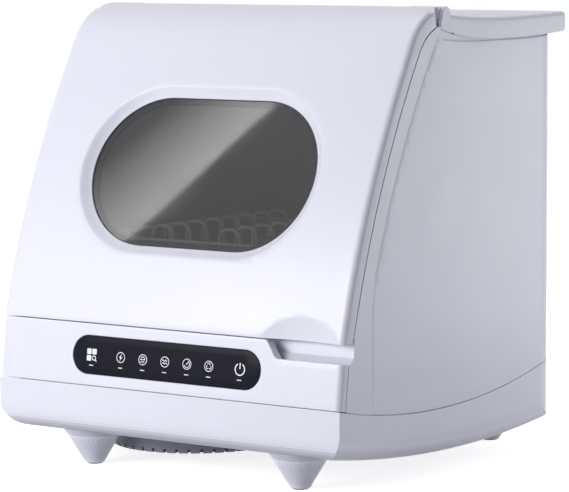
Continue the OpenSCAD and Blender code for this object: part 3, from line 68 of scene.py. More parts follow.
# Half the width, the cover's rear edge, and the rear face of the panels with its corners' radius
HALF_W, BACK_Y = (round(v / MM, 3) for v in cad_box[1][:2])
REAR_Y, REAR_R = 200.4, 45.0

# The front's outline in (y, z). A straight fascia rises to the door's seam, and then three arcs follow: a
# short turn, the door's long curve and the crown. Each lean is from the vertical, where its arc starts.
SEAM = (-202.438, 151.0)
FASCIA_LEAN, CURVE_LEAN, CROWN_LEAN, WINDOW_LEAN = (math.radians(a) for a in (6.9, 14.4, 31.9, 23.5))
TURN_R, CURVE_R, CROWN_R = 60.0, 967.83, 69.0
TURN_C = (SEAM[0] + TURN_R * math.cos(FASCIA_LEAN), SEAM[1] - TURN_R * math.sin(FASCIA_LEAN))
CURVE_C = (736.437, -81.976)
CROWN_C = (-26.645, 393.0)

# Distances up the front from the door's seam
TURN_END = TURN_R * (CURVE_LEAN - FASCIA_LEAN)
CURVE_END = TURN_END + CURVE_R * (CROWN_LEAN - CURVE_LEAN)
CROWN_END = CURVE_END + CROWN_R * (math.pi / 2 - CROWN_LEAN)
WINDOW_S = TURN_END + CURVE_R * (WINDOW_LEAN - CURVE_LEAN)
TOUCH_S, FASCIA_S = ((z - SEAM[1]) / math.cos(FASCIA_LEAN) for z in (119.3, 89.0))

# The door's thickness, the rounding of its rear edge, and its hinge axis
DOOR_T = 15.5
CROWN_EDGE_R = 2.2
AXIS_Y, AXIS_Z = -24.145, 456.5

# Where the door's side turns in below the hinge, as (x, distance up the front), and the notch behind it
DOOR_SHOULDER = [(HALF_W, 348.0), (209.6, 352.5), (208.3, 356.5), (206.4, 359.3), (204.6, 360.8)]
NOTCH_X, NOTCH_S = 167.7, 369.4

# The scene's own foot, as (radius, height), and the places of the feet
FOOT = [(7.0, 1.0), (8.6, 1.1), (9.8, 1.6), (10.7, 2.6), (11.3, 4.0), (12.6, 6.2), (17.4, 14.5), (22.6, 23.0),
        (27.4, 30.8), (28.6, 33.2), (30.8, 35.8), (33.6, 38.2)]
PAD = [(6.6, 0.0), (7.6, 0.2), (8.0, 0.7), (8.0, 3.0)]
FOOT_X, FOOT_YS = 128.5, (-159.0, 189.4)


def lean_at(s):
    """Lean of the front from the vertical at s, the distance up the front from the door's seam."""
    if s <= 0:
        return FASCIA_LEAN
    if s <= TURN_END:
        return FASCIA_LEAN + s / TURN_R
    if s <= CURVE_END:
        return CURVE_LEAN + (s - TURN_END) / CURVE_R
    return min(math.pi / 2, CROWN_LEAN + (s - CURVE_END) / CROWN_R)


def front_at(s, depth=0.0):
    """(y, z) at s on the front's outline, a depth behind it."""
    a = lean_at(s)
    if s <= 0:
        y, z = SEAM[0] + s * math.sin(a), SEAM[1] + s * math.cos(a)
    else:
        arcs = ((TURN_END, TURN_C, TURN_R), (CURVE_END, CURVE_C, CURVE_R), (math.inf, CROWN_C, CROWN_R))
        c, r = next((c, r) for last, c, r in arcs if s <= last)
        y, z = c[0] - r * math.cos(a), c[1] + r * math.sin(a)
    return y + depth * math.cos(a), z - depth * math.sin(a)


def arc_rise(r, d):
    """How far an arc of radius r leaves its tangent at a distance d along it."""
    return r - math.sqrt(r * r - d * d)


def rim_at(y):
    """Height of the tray's upper rim."""
    return 69.1 + arc_rise(835.0, y + 31.0)


def dish_rise(r0, y0, r1, y1, y):
    """Rise of a line that is level between y0 and y1 and curves up before and after them."""
    return arc_rise(r0, max(0.0, y0 - y)) + arc_rise(r1, max(0.0, y - y1))


def cover_top_at(y):
    return 451.5 + dish_rise(1060.0, 84.4, 2630.0, 84.4, y)


def cover_low_at(y):
    return 430.0 + dish_rise(390.0, 62.4, 1200.0, 100.4, y)


def panel_top_at(y):
    return 428.5 + dish_rise(720.0, 36.4, 1200.0, 100.4, y)


def smooth_step(t):
    """An S-shaped rise from 0 to 1."""
    t = max(0.0, min(1.0, t))
    return t * t * (3 - 2 * t)


def rounding(d, r):
    """How far a rounded edge of radius r falls away at a distance d in from the edge."""
    return 0.0 if d >= r else r - math.sqrt(max(0.0, r * r - (r - max(d, 0.0)) ** 2))


# ---------------------------------------------------------------- mesh helpers


def add_piece(name, verts, faces, body, material, slot, replaces=(), crease=32.0):
    """Makes a mesh from points in millimetres, smooth apart from edges sharper than crease."""
    mesh = bpy.data.meshes.new(name)
    mesh.from_pydata([Vector(v) * MM for v in verts], [], [tuple(f) for f in faces])
    mesh.validate()
    mesh.shade_smooth()
    mesh.set_sharp_from_angle(angle=math.radians(crease))
    mesh.materials.append(material)
    obj = bpy.data.objects.new(name, mesh)
    bpy.context.scene.collection.objects.link(obj)
    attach(obj, body)
    if replaces:
        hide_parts(*replaces)
    return obj


def join(parts):
    """One list of points and faces from several."""
    verts, faces = [], []
    for v, f in parts:
        n = len(verts)
        verts += list(v)
        faces += [[i + n for i in face] for face in f]
    return verts, faces


def moved(part, dx, dy):
    """The same mesh, moved across the floor."""
    return [(x + dx, y + dy, z) for x, y, z in part[0]], part[1]


def mirrored(part):
    """The same mesh on the other side of the middle plane."""
    return [(-x, y, z) for x, y, z in part[0]], [list(reversed(f)) for f in part[1]]


def stadium(cx, cy, run, r, n=72):
    """A closed outline with straight sides of length 2*run and half-circle ends, anticlockwise."""
    pts = []
    for side, start in ((1, -90.0), (-1, 90.0)):
        for i in range(n + 1):
            a = math.radians(start + 180.0 * i / n)
            pts.append((cx + side * run + r * math.cos(a), cy + r * math.sin(a)))
        steps = max(2, int(2 * run / 6))
        y = cy + r * (1 if side > 0 else -1)
        pts += [(cx + side * run * (1 - 2 * i / steps), y) for i in range(1, steps)]
    return pts


def stadium_gap(x, y, cx, cy, run, r):
    """Distance outside the stadium's edge; negative inside it."""
    dx = max(0.0, abs(x - cx) - run)
    return math.hypot(dx, y - cy) - r


def polyline(pts, step):
    """The same closed outline with points no further apart than step."""
    out = []
    for a, b in zip(pts, pts[1:] + pts[:1]):
        n = max(1, int(math.ceil(math.hypot(b[0] - a[0], b[1] - a[1]) / step)))
        out += [(a[0] + (b[0] - a[0]) * i / n, a[1] + (b[1] - a[1]) * i / n) for i in range(n)]
    return out


def inside(pts, x, y):
    """Whether a flat point lies within a closed outline."""
    hit = False
    for (x0, y0), (x1, y1) in zip(pts, pts[1:] + pts[:1]):
        if (y0 > y) != (y1 > y) and x < x0 + (y - y0) * (x1 - x0) / (y1 - y0):
            hit = not hit
    return hit


def nearest(points):
    """A search tree of flat points."""
    tree = KDTree(len(points))
    for i, p in enumerate(points):
        tree.insert((p[0], p[1], 0.0), i)
    tree.balance()
    return tree


def sheet(border, holes, lines, seeds, place, walls, clear=1.2):
    """A curved sheet. border and holes are closed outlines on the flat sheet, lines are pairs of an outline
    and whether it is closed, and seeds are points spread over it, of which those within the distance clear of
    an outline are left out. place(u, v) puts a flat point in space, and walls(u, v) lists the points of the
    wall that runs back from the edge there."""
    outlines = [(outline, True) for outline in (border, *holes)] + lines
    tree = nearest([p for outline, _ in outlines for p in outline])

    def within(u, v):
        return inside(border, u, v) and not any(inside(hole, u, v) for hole in holes)

    flat, edges = [], []
    for outline, closed in outlines:
        first = len(flat)
        flat += [Vector(p) for p in outline]
        edges += [(first + i, first + i + 1) for i in range(len(outline) - 1)]
        if closed:
            edges.append((len(flat) - 1, first))
    flat += [Vector(p) for p in seeds if tree.find((*p, 0.0))[2] > clear and within(*p)]
    pts, _, triangles, _, _, _ = delaunay_2d_cdt(flat, edges, [], 1, 1e-5)
    faces = []
    for i, j, k in triangles:
        a, b, c = pts[i], pts[j], pts[k]
        if within(*((a + b + c) / 3)):
            faces.append([i, j, k] if (b - a).cross(c - a) > 0 else [i, k, j])

    verts = [tuple(place(p.x, p.y)) for p in pts]
    directed = {(f[i], f[(i + 1) % 3]) for f in faces for i in range(3)}
    rim = sorted((a, b) for a, b in directed if (b, a) not in directed)
    column = {}
    for i in sorted({i for edge in rim for i in edge}):
        rows = walls(pts[i].x, pts[i].y)
        column[i] = [i] + list(range(len(verts), len(verts) + len(rows)))
        verts += [tuple(r) for r in rows]
    for a, b in rim:
        for k in range(min(len(column[a]), len(column[b])) - 1):
            faces.append([column[b][k], column[a][k], column[a][k + 1], column[b][k + 1]])
    return verts, faces


def edge_gap(outline, closed=True):
    """A function that gives the distance from a flat point to an outline."""
    pts = [Vector(p) for p in outline]
    tree = nearest(pts)

    def gap(u, v):
        here = Vector((u, v))
        best = math.inf
        for _, i, _ in tree.find_n((u, v, 0.0), 3):
            for j in (i - 1, i):
                if not closed and not 0 <= j < len(pts) - 1:
                    continue
                a, b = pts[j], pts[(j + 1) % len(pts)]
                t = max(0.0, min(1.0, (here - a).dot(b - a) / max(1e-9, (b - a).length_squared)))
                best = min(best, (a.lerp(b, t) - here).length)
        return best

    return gap


def grid(us, vs):
    return [(u, v) for u in us for v in vs]


def spread(a, b, step):
    """Even places from a to b, no further apart than step."""
    n = max(1, int(math.ceil(abs(b - a) / step)))
    return [a + (b - a) * i / n for i in range(n + 1)]


def edge_rows(r, every=1):
    """Distances from an edge at which a rounded edge of radius r bends evenly."""
    return [r * (1 - math.cos(math.radians(a))) for a in (15, 30, 45, 60, 75, 90)][every - 1::every]


def soften(pts, r, n=6, closed=False):
    """A path with its corners rounded to radius r."""
    pts = [Vector(p) for p in pts]
    out = []
    last = len(pts) - 1
    for i, p in enumerate(pts):
        if not closed and i in (0, last):
            out.append(p)
            continue
        a, b = pts[i - 1] - p, pts[(i + 1) % len(pts)] - p
        turn = a.angle(b)
        if turn > math.pi - 0.05:
            out.append(p)
            continue
        cut = min(r / math.tan(turn / 2), a.length * 0.49, b.length * 0.49)
        p0, p1 = p + a.normalized() * cut, p + b.normalized() * cut
        out += [p0.lerp(p, t).lerp(p.lerp(p1, t), t) for t in (j / n for j in range(n + 1))]
    return out


def tube(pts, r, sides=10, closed=False):
    """A round wire or hose along a path."""
    pts = [Vector(p) for p in pts]
    count = len(pts)
    verts, faces = [], []
    normal = None
    for i, p in enumerate(pts):
        before = pts[i - 1] if closed or i else p
        after = pts[(i + 1) % count] if closed or i < count - 1 else p
        along = (after - before).normalized()
        if normal is None:
            normal = along.orthogonal().normalized()
        normal = (normal - along * normal.dot(along)).normalized()
        side = along.cross(normal)
        for k in range(sides):
            a = 2 * math.pi * k / sides
            verts.append(tuple(p + (normal * math.cos(a) + side * math.sin(a)) * r))
    for i in range(count if closed else count - 1):
        j = (i + 1) % count
        for k in range(sides):
            m = (k + 1) % sides
            faces.append([i * sides + k, i * sides + m, j * sides + m, j * sides + k])
    if not closed:
        faces.append([k for k in reversed(range(sides))])
        faces.append([(count - 1) * sides + k for k in range(sides)])
    return verts, faces


def turned(profile, sides):
    """A turned shape from (radius, height) pairs, which run from its lower end to its upper one."""
    verts, faces = [], []
    for r, h in profile:
        turns = [2 * math.pi * k / sides for k in range(sides)]
        verts += [(r * math.cos(a), r * math.sin(a), h) for a in turns]
    for i in range(len(profile) - 1):
        for k in range(sides):
            m = (k + 1) % sides
            faces.append([i * sides + k, i * sides + m, (i + 1) * sides + m, (i + 1) * sides + k])
    faces.append([k for k in reversed(range(sides))])
    faces.append([(len(profile) - 1) * sides + k for k in range(sides)])
    return verts, faces


def slab(outline, x0, x1):
    """A plate with an outline in (y, z), from x0 to x1."""
    n = len(outline)
    verts = [(x0, y, z) for y, z in outline] + [(x1, y, z) for y, z in outline]
    faces = [[i for i in reversed(range(n))], [n + i for i in range(n)]]
    faces += [[i, (i + 1) % n, n + (i + 1) % n, n + i] for i in range(n)]
    area = sum(a[0] * b[1] - b[0] * a[1] for a, b in zip(outline, outline[1:] + outline[:1]))
    return (verts, faces) if area > 0 else (verts, [list(reversed(f)) for f in faces])


def bevel(obj, width, segments=3):
    """Rounds the hard edges of a piece."""
    m = obj.modifiers.new("soft_edges", "BEVEL")
    m.width = width * MM
    m.segments = segments
    m.limit_method = "ANGLE"
    m.angle_limit = math.radians(35.0)
    m.harden_normals = True
    return obj


# ---------------------------------------------------------------- materials


def maths(tree, operation, *values):
    """The output of a Math node whose inputs are sockets or numbers."""
    n = tree.nodes.new("ShaderNodeMath")
    n.operation = operation
    for socket, value in zip(n.inputs, values):
        if isinstance(value, bpy.types.NodeSocket):
            tree.links.new(value, socket)
        else:
            socket.default_value = value
    return n.outputs[0]


class Finish:
    """A node material in the making."""

    def __init__(self, name):
        self.mat = bpy.data.materials.new(name)
        self.mat.use_nodes = True
        self.tree = self.mat.node_tree
        self.shader = self.tree.nodes["Principled BSDF"]
        self.where = self.node("ShaderNodeTexCoord")

    def node(self, kind, **values):
        n = self.tree.nodes.new(kind)
        for key, value in values.items():
            n.inputs[key.replace("_", " ")].default_value = value
        return n

    def link(self, a, b):
        self.tree.links.new(a, b)

    def surface(self, **values):
        for key, value in values.items():
            self.shader.inputs[key.replace("_", " ")].default_value = value

    def noise(self, scale, detail, stretch=(1, 1, 1)):
        m = self.node("ShaderNodeMapping")
        m.inputs["Scale"].default_value = stretch
        self.link(self.where.outputs["Object"], m.inputs["Vector"])
        n = self.node("ShaderNodeTexNoise", Scale=scale, Detail=detail, Roughness=0.55)
        self.link(m.outputs["Vector"], n.inputs["Vector"])
        return n.outputs["Fac"]

    def ramp(self, source, low, high, start=0.3, end=0.7):
        """Carries a texture to values, or colours, from low to high."""
        n = self.node("ShaderNodeValToRGB")
        for e, place, value in zip(n.color_ramp.elements, (start, end), (low, high)):
            e.position = place
            e.color = (*value, 1.0) if isinstance(value, (tuple, list)) else (value, value, value, 1.0)
        self.link(source, n.inputs["Fac"])
        return n.outputs["Color"]

    def tint(self, source, color, spread):
        dark = tuple(c * (1 - spread) for c in color)
        light = tuple(min(1.0, c * (1 + spread)) for c in color)
        self.link(self.ramp(source, dark, light), self.shader.inputs["Base Color"])

    def rough(self, source, low, high):
        self.link(self.ramp(source, low, high), self.shader.inputs["Roughness"])

    def bump(self, source, height, strength=0.5):
        n = self.node("ShaderNodeBump", Strength=strength, Distance=height * MM)
        self.link(source, n.inputs["Height"])
        self.link(n.outputs["Normal"], self.shader.inputs["Normal"])


def moulded(name, color, rough, height=0.006, coat=0.0, uneven=0.004, underside_shade=None):
    """Injection-moulded plastic: a slight unevenness of colour and gloss, and a very fine grain. If an
    underside colour is given, faces that look down take it instead, as painted shade that stands in for the
    shade under them."""
    f = Finish(name)
    # Painted shade: faces that look down get the darker underside colour, which stands in for the shade under
    # the tray and is not a colour of the plastic.
    if underside_shade:
        face = f.node("ShaderNodeNewGeometry")
        split = f.node("ShaderNodeSeparateXYZ")
        f.link(face.outputs["Normal"], split.inputs[0])
        upward = maths(f.tree, "MULTIPLY_ADD", split.outputs["Z"], 0.5, 0.5)
        f.link(f.ramp(upward, underside_shade, color, 0.06, 0.3), f.shader.inputs["Base Color"])
    else:
        f.tint(f.noise(9.0, 2.0), color, uneven)
    f.rough(f.noise(25.0, 2.0), rough - 0.02, rough + 0.02)
    f.bump(f.noise(1400.0, 2.0), height, 0.35)
    f.surface(IOR=1.5, Coat_Weight=coat, Coat_Roughness=0.12)
    return f.mat


def glossy_sheet(name, color):
    """A dark printed sheet with a low sheen."""
    f = Finish(name)
    f.tint(f.noise(12.0, 2.0), color, 0.05)
    f.rough(f.noise(60.0, 2.0), 0.28, 0.31)
    f.surface(IOR=1.4, Specular_IOR_Level=0.07)
    return f.mat


def brushed(name, color, rough, stretch):
    """Steel with fine brush lines along one way."""
    f = Finish(name)
    lines = f.noise(260.0, 4.0, stretch)
    f.tint(lines, color, 0.06)
    f.rough(lines, rough - 0.06, rough + 0.1)
    f.bump(lines, 0.02, 0.4)
    f.surface(Metallic=1.0, Anisotropic=0.3)
    return f.mat


def soft_rubber(name, color, rough=0.7):
    f = Finish(name)
    f.tint(f.noise(60.0, 3.0), color, 0.12)
    f.rough(f.noise(300.0, 2.0), rough - 0.06, rough + 0.08)
    f.bump(f.noise(700.0, 3.0), 0.04, 0.5)
    f.surface(Specular_IOR_Level=0.35)
    return f.mat


def smoked_glass(name, color, alpha):
    """Smoked glass: light passes through a dark tint, and the face still reflects."""
    f = Finish(name)
    f.tint(f.noise(5.0, 1.0), color, 0.05)
    f.rough(f.noise(30.0, 2.0), 0.02, 0.05)
    f.surface(IOR=1.5, Alpha=alpha, Coat_Weight=1.0, Coat_Roughness=0.02)
    return f.mat


def circuit(name, color):
    """Green lacquer with a faint net of copper tracks."""
    f = Finish(name)
    dark = tuple(c * 0.8 for c in color)
    n = f.node("ShaderNodeTexBrick", Scale=180.0, Color1=(*color, 1.0), Color2=(*dark, 1.0),
               Mortar=(0.10, 0.30, 0.12, 1.0))
    f.link(f.where.outputs["Object"], n.inputs["Vector"])
    f.link(n.outputs["Color"], f.shader.inputs["Base Color"])
    f.rough(f.noise(200.0, 2.0), 0.3, 0.5)
    return f.mat


# ---------------------------------------------------------------- settings


def distance(name, description, millimetres, low, high):
    return FloatProperty(name=name, description=description, default=millimetres * MM, min=low * MM,
                         max=high * MM, unit="LENGTH", precision=4)


def tint(name, description, color):
    return FloatVectorProperty(name=name, description=description, default=color, min=0, max=1, size=3,
                               subtype="COLOR")


def share(name, description, value):
    return FloatProperty(name=name, description=description, default=value, min=0, max=1, subtype="FACTOR")


def power(name, description, watts):
    return FloatProperty(name=name, description=description, default=watts, min=0, unit="POWER")


def lengths(group, *names):
    """Lengths from a group of settings, in millimetres."""
    return [round(getattr(group, name) / MM, 4) for name in names]


class CasingLook(bpy.types.PropertyGroup):
    color: tint("Casing", "Colour of the outer shells", (0.80, 0.80, 0.895))
    # The underside colour is painted shade: a darkened copy of the casing colour that stands in for the shade
    # under the tray.
    painted_underside_shade: tint("Underside", "Colour of the tray's underside", (0.336, 0.336, 0.42065))
    inner_color: tint("Inner shells", "Colour of the liner and the boxes inside", (0.58, 0.59, 0.65))
    gloss: share("Roughness", "Roughness of the outer shells", 0.38)
    edge_round: distance("Edge radius", "Rounding of the front's side edges", 5.5, 3.0, 8.0)
    seam_round: distance("Seam radius", "Rounding of the edges at the seams", 0.7, 0.4, 2.0)


class DoorLook(bpy.types.PropertyGroup):
    window_run: distance("Window run", "Half the length of the window's straight sides", 57.3, 40.0, 70.0)
    window_r: distance("Window radius", "Radius of the window's ends", 79.3, 60.0, 85.0)
    bezel: distance("Bezel width", "Width of the slope round the window", 10.4, 9.8, 14.0)
    bezel_depth: distance("Bezel depth", "Depth of the pane behind the door's face", 8.6, 7.4, 10.0)
    scoop_x: distance("Scoop place", "Distance of the finger scoop from the middle", 159.0, 120.0, 162.0)
    scoop_r: distance("Scoop radius", "Radius of the finger scoop at the seam", 43.0, 30.0, 45.0)
    scoop_depth: distance("Scoop depth", "Depth of the finger scoop", 6.2, 6.0, 12.0)
    glass: tint("Glass", "Tint of the smoked panes", (0.035, 0.035, 0.04))
    smoke: share("Smoke", "How much of the view each pane holds back", 0.5)


class TouchLook(bpy.types.PropertyGroup):
    color: tint("Touch strip", "Colour of the strip", (0.012, 0.012, 0.02))
    mark_color: tint("Marks", "Colour of the symbols", (0.86, 0.87, 0.9))
    length: distance("Length", "Length of the strip", 232.0, 200.0, 300.0)
    height: distance("Height", "Height of the strip", 38.5, 30.0, 45.0)
    mark_r: distance("Mark radius", "Radius of the round symbols", 5.0, 3.5, 6.0)


class RackLook(bpy.types.PropertyGroup):
    wire_r: distance("Wire radius", "Radius of the rack's wire", 1.8, 1.0, 2.5)
    bend_r: distance("Bend radius", "Radius of the wire's bends", 7.0, 3.0, 10.0)
    loops: IntProperty(name="Plate loops", description="Loops in each row", default=8, min=4, max=10)
    color: tint("Wire", "Colour of the wire's coat", (0.80, 0.80, 0.84))


class StageLook(bpy.types.PropertyGroup):
    key: power("Key lamp", "Power of the big lamp in front", 27.5)
    side: power("Side lamp", "Power of the lamp at the right and rear", 1.9)
    top: power("Top lamp", "Power of the lamp overhead", 9.0)
    sky: share("Sky", "Strength of the even light", 0.2)


FINISHES = {}


def finish(key):
    """One of the shared materials, made on first use."""
    scene = bpy.context.scene
    casing, door, touch, rack = scene.dw_casing, scene.dw_door, scene.dw_touch, scene.dw_rack
    shell, rough = tuple(casing.color), casing.gloss
    if key not in FINISHES:
        FINISHES[key] = {
            "casing": lambda: moulded("satin_white_shell", shell, rough, coat=0.05),
            # The tray's finish paints shade onto its downward faces.
            "tray_painted_shade": lambda: moulded("satin_white_tray_painted_shade", shell, rough, coat=0.05,
                                          underside_shade=tuple(casing.painted_underside_shade)),
            "inner_plastic": lambda: moulded("pale_inner_shell", tuple(casing.inner_color), 0.5),
            # The vent housing's darker grey is painted shade: it stands in for the shade under the tray's
            # belly.
            "vent_painted_shade": lambda: moulded("vent_grey_painted_shade", (0.24, 0.25, 0.31), 0.5),
            "touch_glass": lambda: glossy_sheet("black_touch_sheet", tuple(touch.color)),
            "marks": lambda: moulded("printed_marks", tuple(touch.mark_color), 0.45, height=0.004),
            "circuit": lambda: circuit("circuit_lacquer", (0.012, 0.075, 0.03)),
            "steel": lambda: brushed("brushed_tub_steel", (0.46, 0.46, 0.475), 0.32, (1, 1, 14)),
            "turned_steel": lambda: brushed("turned_steel", (0.5, 0.5, 0.51), 0.28, (10, 1, 1)),
            "black_plastic": lambda: moulded("black_moulding", (0.018, 0.019, 0.022), 0.48, uneven=0.1),
            "grey_plastic": lambda: moulded("grey_moulding", (0.23, 0.235, 0.25), 0.46, uneven=0.04),
            "rubber": lambda: soft_rubber("black_rubber", (0.02, 0.02, 0.022)),
            "hose": lambda: soft_rubber("grey_hose", (0.2, 0.205, 0.22), 0.55),
            "glass": lambda: smoked_glass("smoked_pane", tuple(door.glass), door.smoke),
            "lamp": lambda: moulded("milky_lamp", (0.85, 0.83, 0.76), 0.35, height=0.01),
            "coated_wire": lambda: moulded("coated_wire", tuple(rack.color), 0.28, height=0.03, coat=0.2),
            "dark_bead": lambda: soft_rubber("window_bead", (0.03, 0.03, 0.035), 0.5),
        }[key]()
    return FINISHES[key]


# ---------------------------------------------------------------- pieces


def inner_columns(round_r, step):
    """Columns across the front, clear of its rounded sides."""
    return spread(-HALF_W + round_r + 3, HALF_W - round_r - 3, step)


class DW_OT_door_shell(bpy.types.Operator):
    """The door's outer shell: a long curve with rounded sides, a sloped bezel and a finger scoop"""

    bl_idname = "dishwasher.door_shell"
    bl_label = "Door shell"

    def execute(self, context):
        door, casing = context.scene.dw_door, context.scene.dw_casing
        run, win_r, bezel, pane_depth, scoop_x, scoop_r, scoop_depth = lengths(
            door, "window_run", "window_r", "bezel", "bezel_depth", "scoop_x", "scoop_r", "scoop_depth")
        round_r, seam_r = lengths(casing, "edge_round", "seam_round")
        low_r, end, scoop_top = seam_r * 0.8, CROWN_END, 60.0
        # (distance out from the pane's edge, depth there) on the bezel's slope
        slope = [(0.0, pane_depth - 0.5), (0.35, pane_depth - 1.1), (2.6, 6.2), (5.2, 3.9), (7.6, 1.75),
                 (8.9, 0.72), (9.7, 0.24), (bezel, 0.0)]
        ball_r = (scoop_r ** 2 + scoop_depth ** 2) / (2 * scoop_depth)
        ball = Vector((scoop_x, front_at(0.0, scoop_depth - ball_r)[0], SEAM[1]))

        def skin_point(x, s):
            return Vector((x, *front_at(s)))

        def inward(s):
            a = lean_at(s) * smooth_step(s / 26.0)
            return Vector((0.0, math.cos(a), -math.sin(a)))

        def window_gap(x, s):
            return stadium_gap(x, s, 0.0, WINDOW_S, run, win_r)

        def scoop_fall(x, s):
            gap = skin_point(x, s) - ball
            over = gap.length_squared - ball_r ** 2
            if over >= 0 or s > scoop_top:
                return 0.0
            b = gap.dot(inward(s))
            return -b + math.sqrt(b * b - over)

        def fall(x, s):
            w = max(0.0, window_gap(x, s))
            for (w0, f0), (w1, f1) in zip(slope, slope[1:]):
                if w < bezel and w <= w1:
                    return f0 + (f1 - f0) * (w - w0) / (w1 - w0)
            edge = rounding(HALF_W - abs(x), round_r) + rounding(s, low_r) + rounding(end - s, CROWN_EDGE_R)
            lift = 1.8 * smooth_step((s - CURVE_END + 40.0) / (end - CURVE_END))
            return max(edge, scoop_fall(x, s)) - lift

        def place(x, s):
            return skin_point(x, s) + inward(s) * fall(x, s)

        def walls(x, s):
            p, n = skin_point(x, s), inward(s)
            if window_gap(x, s) < 1.0:
                return [p + n * (pane_depth - 0.02)]
            return [p + n * 15.0, p + n * DOOR_T + Vector((-0.5 if x > 0 else 0.5, 0, 0))]

        right = [(HALF_W, 0.0)] + DOOR_SHOULDER
        right += [(DOOR_SHOULDER[-1][0], NOTCH_S), (NOTCH_X, NOTCH_S), (NOTCH_X, end)]
        border = polyline(right + [(-x, s) for x, s in reversed(right)], 4.0)
        hole = stadium(0.0, WINDOW_S, run, win_r)
        rings = [(stadium(0.0, WINDOW_S, run, win_r + w), True) for w, _ in slope[1:]]

        # The scoop's rim, where the ball meets the door's face, as places round the scoop's middle
        rim = []
        for i in range(61):
            a = math.pi * i / 60
            low, high = 5.0, scoop_top
            for _ in range(24):
                mid = (low + high) / 2
                near = (skin_point(scoop_x + mid * math.cos(a), mid * math.sin(a)) - ball).length < ball_r
                low, high = (mid, high) if near else (low, mid)
            rim.append((low * math.cos(a), low * math.sin(a)))
        scoop = [(scoop_x + x, max(s, 0.02)) for x, s in rim]
        lines = [scoop] + [[(scoop_x + x * k, max(s * k, 0.6)) for x, s in rim]
                           for k in (0.94, 0.85, 0.74, 0.6, 0.45, 0.3, 0.15)]
        lines += [[(x, d) for x in spread(0.1 - HALF_W, HALF_W - 0.1, 4.0)] for d in edge_rows(low_r, 2)]
        lines += [[(x, end - d) for x in spread(0.1 - NOTCH_X, NOTCH_X - 0.1, 4.0)]
                  for d in edge_rows(CROWN_EDGE_R, 2)]
        for d in edge_rows(round_r):
            side = [(HALF_W - d, s) for s in spread(0.05, DOOR_SHOULDER[0][1] - 0.5, 4.0)]
            lines += [side, [(-x, s) for x, s in side]]
        rows = spread(2.6, TURN_END + 6, 3.2) + spread(TURN_END + 10, CURVE_END - 2, 6.5)
        rows += spread(CURVE_END, end - 3.4, 2.4)
        seeds = [(x, s) for x, s in grid(inner_columns(round_r, 8.0), rows)
                 if not inside(scoop, x, s) and window_gap(x, s) > bezel + 1.5]
        part = sheet(border, [hole], rings + [(line, False) for line in lines], seeds, place, walls, 1.4)
        add_piece("door_shell", *part, "door", finish("casing"), "casing", ("door_skin", "window_rim"), 24.0)
        return {"FINISHED"}


class DW_OT_window(bpy.types.Operator):
    """Two curved panes and the dark bead between the outer pane and its bezel"""

    bl_idname = "dishwasher.window"
    bl_label = "Window"

    def execute(self, context):
        run, r, pane_depth = lengths(context.scene.dw_door, "window_run", "window_r", "bezel_depth")

        def ring(grow, depth):
            return [(x, *front_at(s, depth)) for x, s in stadium(0.0, WINDOW_S, run, r + grow)]

        def pane(name, node, depth, thick, grow):
            def place(x, s):
                return (x, *front_at(s, depth))

            def walls(x, s):
                return [(x, *front_at(s, depth + thick))]

            seeds = grid(spread(-run - r, run + r, 9.0), spread(WINDOW_S - r, WINDOW_S + r, 7.0))
            part = sheet(stadium(0.0, WINDOW_S, run, r + grow), [], [], seeds, place, walls)
            add_piece(name, *part, "door", finish("glass"), "glass", (node,))

        pane("outer_pane", "window_pane", pane_depth + 0.1, 2.2, 1.4)
        pane("second_pane", "inner_pane", 13.1, 2.1, -4.6)
        # A thin dark ring at the outer pane's edge draws the dark line there. The thicker ring and the band
        # sit between the two panes.
        parts = [tube(ring(-0.35, pane_depth - 0.25), 0.45, 8, True), tube(ring(-3.0, 12.1), 0.9, 8, True)]
        band = [ring(grow, depth) for grow, depth in ((2.6, 11.2), (-5.0, 11.2), (-5.0, 12.8), (2.6, 12.8))]
        n = len(band[0])
        faces = [[k * n + i, k * n + (i + 1) % n, ((k + 1) % 4) * n + (i + 1) % n, ((k + 1) % 4) * n + i]
                 for k in range(4) for i in range(n)]
        parts.append(([p for loop in band for p in loop], faces))
        add_piece("window_bead", *join(parts), "door", finish("dark_bead"), "rubber", ("window_seal",))
        return {"FINISHED"}


def pocket_edge(inset):
    """The part of the fascia's upper edge that drops in an S to the finger pocket's floor."""
    start, run, seam_gap, drop = 118.0, 17.0, 0.85, 17.45
    return [(start - inset + run * t, -(seam_gap + inset + drop * smooth_step(t)) / math.cos(FASCIA_LEAN))
            for t in (i / 14 for i in range(15))]


